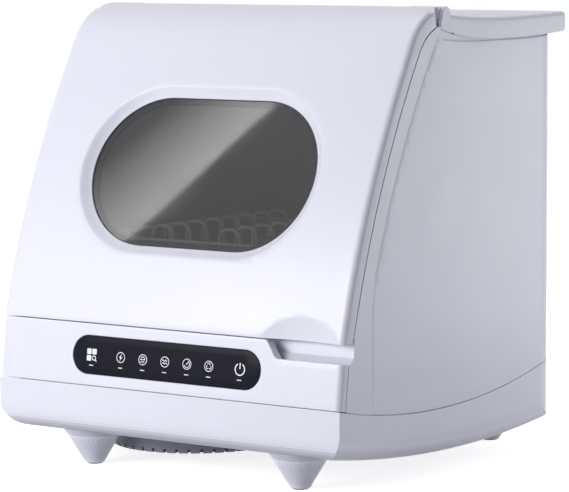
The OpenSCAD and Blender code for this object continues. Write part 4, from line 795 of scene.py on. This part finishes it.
class DW_OT_fascia(bpy.types.Operator):
    """The lower front strip with the touch strip's opening and the finger pocket's edge"""

    bl_idname = "dishwasher.fascia"
    bl_label = "Fascia"

    def execute(self, context):
        length, height = lengths(context.scene.dw_touch, "length", "height")
        round_r, seam_r = lengths(context.scene.dw_casing, "edge_round", "seam_round")
        run, hole_r, low = (length - height) / 2, height / 2 + 0.25, FASCIA_S
        drop = pocket_edge(0.0)
        left_high, right_high = drop[0][1], drop[-1][1]
        upper = [(HALF_W, right_high)] + drop[::-1] + [(-HALF_W, left_high)]
        to_upper = edge_gap(upper, False)

        def strip_gap(x, s):
            return stadium_gap(x, s, 0.0, TOUCH_S, run, hole_r)

        def place(x, s):
            fall = rounding(HALF_W - abs(x), round_r) + rounding(min(to_upper(x, s), s - low), seam_r)
            return (x, *front_at(s, fall + rounding(strip_gap(x, s), 0.45)))

        def walls(x, s):
            y, z = front_at(s, 2.2 if strip_gap(x, s) < 0.75 else 10.0)
            return [(x, y, max(z, rim_at(y) + 0.5) if s < low + 1 else z)]

        border = polyline([(-HALF_W, low), (HALF_W, low)] + upper, 3.0)
        hole = stadium(0.0, TOUCH_S, run, hole_r, 40)
        lines = [(stadium(0.0, TOUCH_S, run, hole_r + d, 40), True) for d in (0.3, 0.7)]
        for d in edge_rows(seam_r, 2):
            drop = pocket_edge(d)
            seam = [(x, drop[0][1]) for x in spread(0.1 - HALF_W, drop[0][0], 3.0)[:-1]] + drop
            seam += [(x, drop[-1][1]) for x in spread(drop[-1][0], HALF_W - 0.1, 3.0)[1:]]
            lines += [(seam, False), ([(x, low + d) for x in spread(0.1 - HALF_W, HALF_W - 0.1, 3.0)], False)]
        for d in edge_rows(round_r):
            for x, high in ((HALF_W - d, right_high), (d - HALF_W, left_high)):
                lines.append(([(x, s) for s in spread(low + 0.05, high - 0.05, 3.0)], False))
        seeds = grid(inner_columns(round_r, 7.0), spread(low + 4, -4.0, 6.0))
        part = sheet(border, [hole], lines, seeds, place, walls, 1.3)
        add_piece("fascia_shell", *part, "cabinet", finish("casing"), "casing", ("fascia",), 24.0)
        return {"FINISHED"}


class DW_OT_touch_strip(bpy.types.Operator):
    """The black touch strip and the white symbols on it"""

    bl_idname = "dishwasher.touch_strip"
    bl_label = "Touch strip"

    def execute(self, context):
        length, height, mark_r = lengths(context.scene.dw_touch, "length", "height", "mark_r")
        run, r = (length - height) / 2, height / 2

        def place(x, s):
            return (x, *front_at(s, 0.15 + rounding(-stadium_gap(x, s, 0.0, TOUCH_S, run, r), 0.5)))

        def walls(x, s):
            return [(x, *front_at(s, 2.3))]

        edge = stadium(0.0, TOUCH_S, run, r, 40)
        rings = [(stadium(0.0, TOUCH_S, run, r - d, 40), True) for d in (0.15, 0.5)]
        seeds = grid(spread(-run, run, 12), spread(TOUCH_S - 12, TOUCH_S + 12, 8))
        part = sheet(edge, [], rings, seeds, place, walls, 0.3)
        add_piece("touch_strip", *part, "cabinet", finish("touch_glass"), "touch_glass", ("touch_panel",))

        verts, faces = [], []

        def lay(flat, ring):
            n = len(verts)
            verts.extend((x, *front_at(s, 0.11)) for x, s in flat)
            faces.extend([i + n for i in f] for f in ring)

        def stroke(pts, w, closed=False):
            pts = [Vector(p) for p in pts]
            n = len(pts)
            flat = []
            for i, p in enumerate(pts):
                a = pts[i - 1] if closed or i else p
                b = pts[(i + 1) % n] if closed or i < n - 1 else p
                t = (b - a).normalized()
                side = Vector((-t.y, t.x)) * (w / 2)
                flat += [tuple(p - side), tuple(p + side)]
            lay(flat, [[2 * i, 2 * ((i + 1) % n), 2 * ((i + 1) % n) + 1, 2 * i + 1]
                       for i in range(n if closed else n - 1)])

        def patch(pts):
            lay(pts, [list(range(len(pts)))])

        def arc(cx, cy, rad, a0, a1, n=28):
            turns = [math.radians(a0 + (a1 - a0) * i / n) for i in range(n + 1)]
            return [(cx + rad * math.cos(a), cy + rad * math.sin(a)) for a in turns]

        c, thin = TOUCH_S, 0.75
        menu_x, power_x = -92.0, 91.3
        wash_x, grill_x, waves_x, clock_x, fan_x = places = (-55.2, -27.4, 0.0, 27.2, 53.9)

        # Menu: three squares and a looking glass
        h, cut = 2.8, 0.6
        for dx, dy in ((-3.3, 3.3), (3.3, 3.3), (-3.3, -3.3)):
            corners = ((-h, -h + cut), (-h + cut, -h), (h - cut, -h), (h, -h + cut),
                       (h, h - cut), (h - cut, h), (-h + cut, h), (-h, h - cut))
            patch([(menu_x + dx + u, c + dy + v) for u, v in corners])
        stroke(arc(menu_x + 3.0, c - 3.1, 2.1, 0, 348), 0.95, True)
        stroke([(menu_x + 4.6, c - 4.7), (menu_x + 6.4, c - 6.4)], 0.9)

        # Five round symbols: a bolt, a grill, waves, a clock and a fan
        for x in places:
            stroke(arc(x, c, mark_r, 0, 350), thin, True)
        bolt = ((1.2, 3.7), (-2.2, -0.4), (-0.3, -0.4), (-1.2, -3.7), (2.2, 0.5), (0.3, 0.5))
        patch([(wash_x + u, c + v) for u, v in bolt])
        stroke([(grill_x - 3.2, c + 0.2), (grill_x + 3.2, c + 0.2)], thin)
        for dx in (-1.8, 0.0, 1.8):
            stroke([(grill_x + dx, c - 1.0), (grill_x + dx - 0.5, c - 3.0)], thin)
        stroke(arc(grill_x, c + 0.4, 2.4, 10, 170), thin)
        for dy in (1.3, -1.3):
            stroke([(waves_x - 3.0 + 0.5 * i, c + dy + 0.7 * math.sin(i * 1.05)) for i in range(13)], thin)
        stroke(arc(clock_x, c, 3.2, 200, 430), thin)
        stroke([(clock_x, c), (clock_x + 1.6, c + 2.0)], 0.8)
        stroke([(clock_x, c), (clock_x - 1.3, c)], 0.8)
        for a in (90, 210, 330):
            hub = [1.5 * f(math.radians(a)) for f in (math.cos, math.sin)]
            stroke(arc(fan_x + hub[0], c + hub[1], 1.6, a - 100, a + 80, 12), thin)

        # Power symbol, and a short line below each symbol
        stroke(arc(power_x, c, 5.6, 118, 422, 40), 1.25)
        stroke([(power_x, c + 0.4), (power_x, c + 6.4)], 1.25)
        for x in (menu_x, *places, power_x):
            stroke([(x - 2.6, c - 10.4), (x + 2.6, c - 10.4)], 0.9)
        add_piece("touch_marks", verts, faces, "cabinet", finish("marks"), "lamp")
        return {"FINISHED"}


def inset_cover(arc, front, d):
    """The cover's two sides and its back, a distance d in from its outline."""
    cx, cy = arc[0][0], arc[0][1]
    centre = (arc[-1][0], cy)
    k = (cx - centre[0] - d) / (cx - centre[0])
    turn = [(centre[0] + (x - centre[0]) * k, centre[1] + (y - centre[1]) * k) for x, y in arc]
    right = [(cx - d, y) for y in spread(front + 0.1, cy, 6.0)[:-1]] + turn
    back = [(x, turn[-1][1]) for x in spread(turn[-1][0], -turn[-1][0], 6.0)[1:-1]]
    return right + back + [(-x, y) for x, y in reversed(right)]


class DW_OT_top_cover(bpy.types.Operator):
    """The dished lid behind the door, with its soft edge and the two cheeks beside the hinges"""

    bl_idname = "dishwasher.top_cover"
    bl_label = "Top cover"

    def execute(self, context):
        front, corner, lip, dish = AXIS_Y + 7.8, 10.0, 14.0, 3.0
        edge_r, front_r, skirt, cheek_t = 4.5, 1.2, 12.0, 4.0
        arc = [(HALF_W - corner + corner * math.cos(a), BACK_Y - corner + corner * math.sin(a))
               for a in (math.radians(k) for k in range(0, 91, 9))]
        right = [(HALF_W, front)] + arc
        border = polyline(right + [(-x, y) for x, y in reversed(right)], 6.0)

        def gap(x, y):
            dx, dy = HALF_W - corner - abs(x), BACK_Y - corner - y
            if dx < 0 and dy < 0:
                return corner - math.hypot(dx, dy)
            return min(HALF_W - abs(x), BACK_Y - y)

        def place(x, y):
            g = gap(x, y)
            fall = rounding(g, edge_r) + rounding(y - front, front_r)
            fall += dish * smooth_step((min(g, y - front + 2.0) - lip + 2) / 6.5)
            return x, y, cover_top_at(y) - fall

        def walls(x, y):
            low = cover_low_at(y)
            if y < front + 0.5:
                return [(x, y, low)]

            def inset(d, z):
                return x * (1.0 - d / HALF_W), y - (d if y > BACK_Y - corner else 0), z

            return [(x, y, low + 1.0), inset(0.8, low), inset(3.4, low), inset(3.4, low + skirt)]

        # Rows are close together where the dish falls away from its rim
        steps = (8.0, 12.2, 13.5, 15.0, 16.5, 18.2, 20.0)
        side = [HALF_W - d for d in steps]
        ys = [front + d for d in (3.2, 6.0, 8.0, 10.2, 11.5, 13.0, 14.6, 16.2, 18.0)]
        ys += spread(front + 24, BACK_Y - 24, 12.0) + [BACK_Y - d for d in reversed(steps)]
        seeds = grid(spread(-HALF_W + 22, HALF_W - 22, 16.0) + side + [-x for x in side], ys)
        lines = [([(x, front + d) for x in spread(0.1 - HALF_W, HALF_W - 0.1, 6.0)], False)
                 for d in edge_rows(front_r, 2)]
        lines += [(inset_cover(arc, front, d), False) for d in edge_rows(edge_r)]
        part = sheet(border, [], lines, seeds, place, walls, 1.2)
        add_piece("cover_lid", *part, "cabinet", finish("casing"), "casing", ("top_cover",), 26.0)

        start, end, knuckle_r = AXIS_Y - 10.0, front + 0.25, 7.5
        outline = [(start, cover_low_at(start)), (end, cover_low_at(end)), (end, cover_top_at(end) - 0.8)]
        outline += [(AXIS_Y + knuckle_r * math.cos(a), AXIS_Z + knuckle_r * math.sin(a))
                    for a in (math.radians(k) for k in range(20, 151, 13))]
        outline += [(start + 1.5, AXIS_Z - 5.5), (start, AXIS_Z - 7.0)]
        for name, x0 in (("cover_cheek_right", HALF_W - cheek_t), ("cover_cheek_left", -HALF_W)):
            cheek = slab(outline, x0, x0 + cheek_t)
            bevel(add_piece(name, *cheek, "cabinet", finish("casing"), "casing"), 0.9)
        return {"FINISHED"}


SIDE_Y, SIDE_TOP = -154.5, (-34.6, 441.6)


def side_front_y(z):
    """The side panel's front edge: a straight drop, the curve behind the door, and a straight top."""
    reach, bend = CURVE_R - 34.8, math.radians(32.9)
    if z < CURVE_C[1] + reach * math.sin(CURVE_LEAN):
        return SIDE_Y
    a = math.asin(min(0.999, (z - CURVE_C[1]) / reach))
    if a <= bend:
        return max(SIDE_Y, CURVE_C[0] - reach * math.cos(a))
    y, z0 = CURVE_C[0] - reach * math.cos(bend), CURVE_C[1] + reach * math.sin(bend)
    return y + (z - z0) / (SIDE_TOP[1] - z0) * (SIDE_TOP[0] - y)


class DW_OT_side_panels(bpy.types.Operator):
    """The two side panels, which wrap round the rear corners and carry a soft crease low down"""

    bl_idname = "dishwasher.side_panels"
    bl_label = "Side panels"

    def execute(self, context):
        start, crease_z = REAR_Y - REAR_R, 111.0
        arc_len = REAR_R * math.pi / 2
        end = start + arc_len - 0.3
        seam_r = lengths(context.scene.dw_casing, "seam_round")[0]

        def plan(u, depth=0.0):
            """The panel in plan, at u along it: straight back, then round the rear corner."""
            if u <= start:
                return HALF_W - depth, u
            a, r = (u - start) / REAR_R, REAR_R - depth
            if a <= math.pi / 2:
                return HALF_W - REAR_R + r * math.cos(a), start + r * math.sin(a)
            return HALF_W - REAR_R - (u - start - arc_len), REAR_Y - depth

        def low(u):
            return rim_at(plan(u)[1]) + 0.5

        def high(u):
            return panel_top_at(plan(u)[1])

        foot = low(SIDE_Y)
        us = spread(SIDE_Y, end, 6.0)
        border = [(u, low(u)) for u in us] + [(end, z) for z in spread(low(end), high(end), 6.0)[1:-1]]
        border += [(u, high(u)) for u in reversed(us) if u > -34.0] + [(-34.4, 433.5), (-34.6, 441.4)]
        border += [(side_front_y(z), z) for z in spread(440.0, foot + 4, 6.0)]
        to_edge = edge_gap(border)

        def place(u, z):
            fade = 1.0 - smooth_step((u + 30.0) / 80.0)
            crease = 1.1 * fade * (1.0 - math.exp(-max(0.0, crease_z - z) / 16.0))
            x, y = plan(u, rounding(to_edge(u, z), seam_r) * 0.8 + crease)
            return x, y, z

        def walls(u, z):
            return [(*plan(u, 2.5), z)]

        lines = [[(u, z) for u in spread(-150.0, 40.0, 6.0)] for z in (crease_z, crease_z - 1.4)]
        for d in edge_rows(seam_r, 2):
            lines += [[(side_front_y(z) + d, z) for z in spread(438.0, foot + 3, 6.0)],
                      [(u, low(u) + d) for u in spread(SIDE_Y + 1, end - 1.5, 6.0)],
                      [(u, high(u) - d) for u in spread(-32.0, end - 1.5, 6.0)]]
        seeds = grid(spread(-150.0, start, 9.0) + spread(start, end - 3, 3.5), spread(72.0, 445.0, 9.0))
        part = sheet(border, [], [(line, False) for line in lines], seeds, place, walls, 1.4)

        # A lip stands up behind the panel's upper edge and reaches under the cover
        rings = []
        for u in spread(AXIS_Y - 8.5, end - 1.0, 6.0):
            z = high(u)
            top = min(cover_top_at(plan(u)[1]) - 10.2, z + 13.8)
            outer, inner = plan(u, 2.9), plan(u, 4.9)
            rings.append([(*outer, z - 6.0), (*outer, top), (*inner, top), (*inner, z - 6.0)])
        n = len(rings)
        quads = [[4 * i + k, 4 * i + (k + 1) % 4, 4 * i + 4 + (k + 1) % 4, 4 * i + 4 + k]
                 for i in range(n - 1) for k in range(4)]
        quads += [[3, 2, 1, 0], [4 * n - 4, 4 * n - 3, 4 * n - 2, 4 * n - 1]]
        right = join([part, ([p for ring in rings for p in ring], quads)])
        for side, panel in (("right", right), ("left", mirrored(right))):
            add_piece(side + "_side_panel", *panel, "cabinet", finish("casing"), "casing",
                      (side + "_panel",), 26.0)
        return {"FINISHED"}


class DW_OT_feet(bpy.types.Operator):
    """Four tapered feet that flare into the tray, with flat backs at the rear and a pad under each"""

    bl_idname = "dishwasher.feet"
    bl_label = "Feet"

    def execute(self, context):
        foot, pad = turned(FOOT, 72), turned(PAD, 48)
        flat_y, low, high, half = REAR_Y - 0.2, 37.8, 62.8, 29.2
        back = [(flat_y - 2.0, low), (flat_y, low), (flat_y, high), (flat_y - 2.0, high)]
        feet, pads = [], []
        for x in (-FOOT_X, FOOT_X):
            for y in FOOT_YS:
                v, f = moved(foot, x, y)
                feet.append(([(px, min(py, flat_y), pz) for px, py, pz in v], f))
                pads.append(moved(pad, x, y))
            feet.append(slab(back, x - half, x + half))
        add_piece("flared_feet", *join(feet), "cabinet", finish("casing"), "casing")
        add_piece("soft_pads", *join(pads), "cabinet", finish("rubber"), "rubber", ("foot_pads",))
        return {"FINISHED"}


class DW_OT_dish_rack(bpy.types.Operator):
    """The wire rack: a double rim, a floor grid, posts and rows of plate loops"""

    bl_idname = "dishwasher.dish_rack"
    bl_label = "Dish rack"

    def execute(self, context):
        r, bend = lengths(context.scene.dw_rack, "wire_r", "bend_r")
        loops = context.scene.dw_rack.loops
        x0, x1, y0, y1, low, high = -137.0, 137.0, -152.0, 94.0, 186.0, 232.0
        loop_h, loop_r, loop_xs = 58.0, 13.0, (-62.0, 22.0)
        parts = []

        def wire(pts, closed=False, radius=bend):
            parts.append(tube(soften(pts, radius, 6, closed), r, 10, closed))

        for z in (low, high):
            wire([(x0, y0, z), (x1, y0, z), (x1, y1, z), (x0, y1, z)], True)
        for i in range(1, 6):
            x = x0 + i * (x1 - x0) / 6
            wire([(x, y0, high), (x, y0, low), (x, y1, low), (x, y1, high)])
        for i in (1, 2, 3):
            y = y0 + i * (y1 - y0) / 4
            wire([(x0, y, high), (x0, y, low), (x0 + 8, y, low)])
            wire([(x1, y, high), (x1, y, low), (x1 - 8, y, low)])
        for x in (x0 + 2, x1 - 2):
            for y in (y0 + 2, y1 - 2):
                wire([(x, y, low), (x, y, high)])
        for i in range(loops):
            y = y0 + 24 + i * (y1 - y0 - 48) / (loops - 1)
            wire([(x0, y, low), (x1, y, low)])
            for x in loop_xs:
                wire([(x - loop_r, y, low), (x - loop_r, y, low + loop_h),
                      (x + loop_r, y, low + loop_h), (x + loop_r, y, low)], radius=loop_r - 0.4)
        for x in (x0, x1):
            for y in (y0 + 30, y1 - 30):
                slide = [(y - 12, 180.4), (y + 12, 180.4), (y + 12, 187.0), (y - 12, 187.0)]
                parts.append(slab(slide, x - 4, x + 4))
        add_piece("wire_rack", *join(parts), "rack", finish("coated_wire"), "coated_wire",
                  ("dish_rack",), 40.0)
        return {"FINISHED"}


# The solids that show as they are, by finish, and the widths of their soft edges in millimetres
NODE_FINISHES = {
    # The tray's finish carries painted shade on its downward faces.
    "tray_painted_shade": ("base_tray",),
    "casing": ("front_frame", "rear_panel", "left_hinge_bracket", "right_hinge_bracket", "water_inlet",
               "inlet_valve"),
    "inner_plastic": ("door_liner", "board_box"),
    # The vent housing's finish is painted shade.
    "vent_painted_shade": ("vent_housing",),
    "circuit": ("touch_board", "control_board"),
    "steel": ("tub", "catch_plates", "left_hinge_arm", "right_hinge_arm", "sump_filter"),
    "turned_steel": ("wash_motor", "flow_heater", "fan_motor", "hinge_pins", "base_screws", "rear_screws"),
    "black_plastic": ("suction_pipe", "pump_volute", "drain_pump", "drain_spigot", "cord_gland",
                      "fan_housing", "door_switch", "spray_caps", "door_magnets"),
    "grey_plastic": ("left_rail", "right_rail", "sump_bowl", "feed_manifold", "riser_pipe", "cutlery_basket",
                     "lower_spray_arm", "upper_spray_arm", "fan_wheel", "pump_impeller"),
    "rubber": ("door_seal", "pump_mount", "wire_harness"),
    "hose": ("drain_hose", "inlet_hose"),
    "lamp": ("tub_lamp",),
}
SOFT_EDGES = {
    1.2: ("base_tray", "lower_spray_arm", "upper_spray_arm"),
    1.0: ("inlet_valve", "wash_motor"),
    0.8: ("left_hinge_bracket", "right_hinge_bracket", "board_box", "pump_volute"),
    0.7: ("front_frame", "rear_panel", "door_liner"),
    0.6: ("drain_pump", "sump_bowl"),
    0.5: ("cutlery_basket", "fan_housing"),
    0.4: ("left_rail", "right_rail"),
}


class DW_OT_works(bpy.types.Operator):
    """Finishes and soft edges for the frame, the tray, the rear and all the parts inside"""

    bl_idname = "dishwasher.works"
    bl_label = "Frame and works"

    def execute(self, context):
        for key, names in NODE_FINISHES.items():
            for name in names:
                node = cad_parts[name]
                node.data.materials.clear()
                node.data.materials.append(finish(key))
        for width, names in SOFT_EDGES.items():
            for name in names:
                bevel(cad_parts[name], width, 2)
        return {"FINISHED"}


# ---------------------------------------------------------------- stage


def lamp(name, place, aim, size, energy):
    data = bpy.data.lights.new(name, "AREA")
    data.shape = "RECTANGLE"
    data.size, data.size_y = size
    data.energy = energy
    obj = bpy.data.objects.new(name, data)
    obj.location = place
    obj.rotation_euler = (Vector(aim) - Vector(place)).to_track_quat("-Z", "Y").to_euler()
    bpy.context.scene.collection.objects.link(obj)


def seen(tree):
    """1 to the camera and in gloss and glass, and 0 to all other light."""
    ray = tree.nodes.new("ShaderNodeLightPath").outputs
    direct = maths(tree, "MAXIMUM", ray["Is Camera Ray"], ray["Is Glossy Ray"])
    return maths(tree, "MAXIMUM", direct, ray["Is Transmission Ray"])


def soft_box(tree, a, b):
    """A bright panel of the studio that only gloss shows: its edge runs through the directions a and b, and
    away from that edge it fades to plain white."""
    peak, fade_over, bow = 6.5, 0.034, 0.009
    ray = tree.nodes.new("ShaderNodeTexCoord").outputs["Generated"]
    across = tree.nodes.new("ShaderNodeVectorMath")
    across.operation = "DOT_PRODUCT"
    across.inputs[1].default_value = b.cross(a).normalized()
    split = tree.nodes.new("ShaderNodeSeparateXYZ")
    for node in (across, split):
        tree.links.new(ray, node.inputs[0])
    # The edge bows a little, so that it looks straight in the curved pane
    middle = maths(tree, "SUBTRACT", split.outputs["Z"], (a.z + b.z) / 2)
    square = maths(tree, "MULTIPLY", middle, middle)
    bend = maths(tree, "MULTIPLY_ADD", square, -4 * bow / (a.z - b.z) ** 2, bow)
    side = maths(tree, "ADD", across.outputs["Value"], bend)
    ramp = tree.nodes.new("ShaderNodeMapRange")
    for key, value in (("From Min", 0.0), ("From Max", fade_over), ("To Min", peak), ("To Max", 1.0)):
        ramp.inputs[key].default_value = value
    tree.links.new(side, ramp.inputs["Value"])
    pick = tree.nodes.new("ShaderNodeMix")
    tree.links.new(maths(tree, "GREATER_THAN", side, 0.0), pick.inputs["Factor"])
    pick.inputs["A"].default_value = 1.0
    tree.links.new(ramp.outputs[0], pick.inputs["B"])
    return pick.outputs[0]


def lay_floor(half, n=24):
    """A pale floor that shows almost white, and keeps the shadow."""
    marks = [half * (2 * i / n - 1) for i in range(n + 1)]
    verts = [(x, y, 0.0) for y in marks for x in marks]
    corners = [j * (n + 1) + i for j in range(n) for i in range(n)]
    mesh = bpy.data.meshes.new("floor")
    mesh.from_pydata(verts, [], [(k, k + 1, k + n + 2, k + n + 1) for k in corners])
    floor = bpy.data.objects.new("floor", mesh)
    bpy.context.scene.collection.objects.link(floor)
    mat = bpy.data.materials.new("pale_floor")
    mat.use_nodes = True
    shader = mat.node_tree.nodes["Principled BSDF"].inputs
    shader["Base Color"].default_value = (0.85, 0.85, 0.85, 1)
    shader["Roughness"].default_value = 0.9
    shader["Emission Color"].default_value = (1, 1, 1, 1)
    mat.node_tree.links.new(maths(mat.node_tree, "MULTIPLY", seen(mat.node_tree), 0.8),
                            shader["Emission Strength"])
    mesh.materials.append(mat)


def hang_sky(strength):
    """An even, cool sky, which is white to the camera and holds the soft box."""
    world = bpy.data.worlds.new("even_sky")
    bpy.context.scene.world = world
    world.use_nodes = True
    tree = world.node_tree
    tree.nodes.clear()
    out, sky, white, mix = (tree.nodes.new("ShaderNode" + kind)
                            for kind in ("OutputWorld", "Background", "Background", "MixShader"))
    sky.inputs["Color"].default_value = (0.86, 0.9, 1.0, 1)
    sky.inputs["Strength"].default_value = strength
    white.inputs["Color"].default_value = (1, 1, 1, 1)
    box = soft_box(tree, Vector((-0.583, -0.491, 0.647)), Vector((-0.622, -0.672, 0.401)))
    tree.links.new(box, white.inputs["Strength"])
    for source, socket in ((seen(tree), 0), (sky.outputs[0], 1), (white.outputs[0], 2)):
        tree.links.new(source, mix.inputs[socket])
    tree.links.new(mix.outputs[0], out.inputs["Surface"])


def place_camera():
    """A long lens, a third of the way round to the right and a little above the middle."""
    focal, image_w, sensor = 3011.29, 569, 36.0
    az, el, roll = (math.radians(a) for a in (35.7028, 5.9091, -0.2578))
    cam = bpy.data.cameras.new("camera")
    cam.sensor_width = sensor
    cam.lens = focal / image_w * sensor
    cam.clip_end = 50.0
    obj = bpy.data.objects.new("camera", cam)
    bpy.context.scene.collection.objects.link(obj)
    back = Vector((math.sin(az) * math.cos(el), -math.cos(az) * math.cos(el), math.sin(el)))
    right = Vector((math.cos(az), math.sin(az), 0.0))
    up = back.cross(right)
    x_axis = right * math.cos(roll) + up * math.sin(roll)
    y_axis = up * math.cos(roll) - right * math.sin(roll)
    matrix = Matrix((x_axis, y_axis, back)).transposed().to_4x4()
    matrix.translation = Vector((1797.52, -2505.95, 534.62)) * MM
    obj.matrix_world = matrix
    bpy.context.scene.camera = obj


class DW_OT_stage(bpy.types.Operator):
    """Pale floor, soft lamps, even sky and the camera"""

    bl_idname = "dishwasher.stage"
    bl_label = "Stage"

    def execute(self, context):
        look = context.scene.dw_stage
        middle = (0.0, 0.0, 0.24)
        lay_floor(4.0)
        hang_sky(look.sky)
        lamp("key_lamp", (-0.8, -1.95, 0.76), middle, (1.0, 0.7), look.key)
        lamp("side_lamp", (0.68, 0.78, 0.26), (0.2, 0.15, 0.13), (0.35, 0.5), look.side)
        lamp("top_lamp", (0.0, 0.1, 1.9), middle, (1.6, 1.6), look.top)
        place_camera()
        context.scene.view_settings.view_transform = "Standard"
        return {"FINISHED"}


PIECES = (DW_OT_door_shell, DW_OT_window, DW_OT_fascia, DW_OT_touch_strip, DW_OT_top_cover, DW_OT_side_panels,
          DW_OT_feet, DW_OT_dish_rack, DW_OT_works, DW_OT_stage)
LOOKS = (("dw_casing", CasingLook), ("dw_door", DoorLook), ("dw_touch", TouchLook), ("dw_rack", RackLook),
         ("dw_stage", StageLook))


class DW_PT_panel(bpy.types.Panel):
    """Lists the dishwasher's pieces and settings"""

    bl_label = "Countertop dishwasher"
    bl_idname = "DW_PT_panel"
    bl_space_type = "VIEW_3D"
    bl_region_type = "UI"
    bl_category = "Dishwasher"

    def draw(self, context):
        for piece in PIECES:
            self.layout.operator(piece.bl_idname)
        for name, group in LOOKS:
            box = self.layout.box()
            for key in group.__annotations__:
                box.prop(getattr(context.scene, name), key)


def register():
    for name, group in LOOKS:
        bpy.utils.register_class(group)
        setattr(bpy.types.Scene, name, PointerProperty(type=group))
    for cls in PIECES + (DW_PT_panel,):
        bpy.utils.register_class(cls)


def unregister():
    for cls in reversed(PIECES + (DW_PT_panel,)):
        bpy.utils.unregister_class(cls)
    for name, group in reversed(LOOKS):
        delattr(bpy.types.Scene, name)
        bpy.utils.unregister_class(group)


def main():
    register()
    for piece in PIECES:
        group, name = piece.bl_idname.split(".")
        getattr(getattr(bpy.ops, group), name)()


if __name__ == "__main__":
    main()
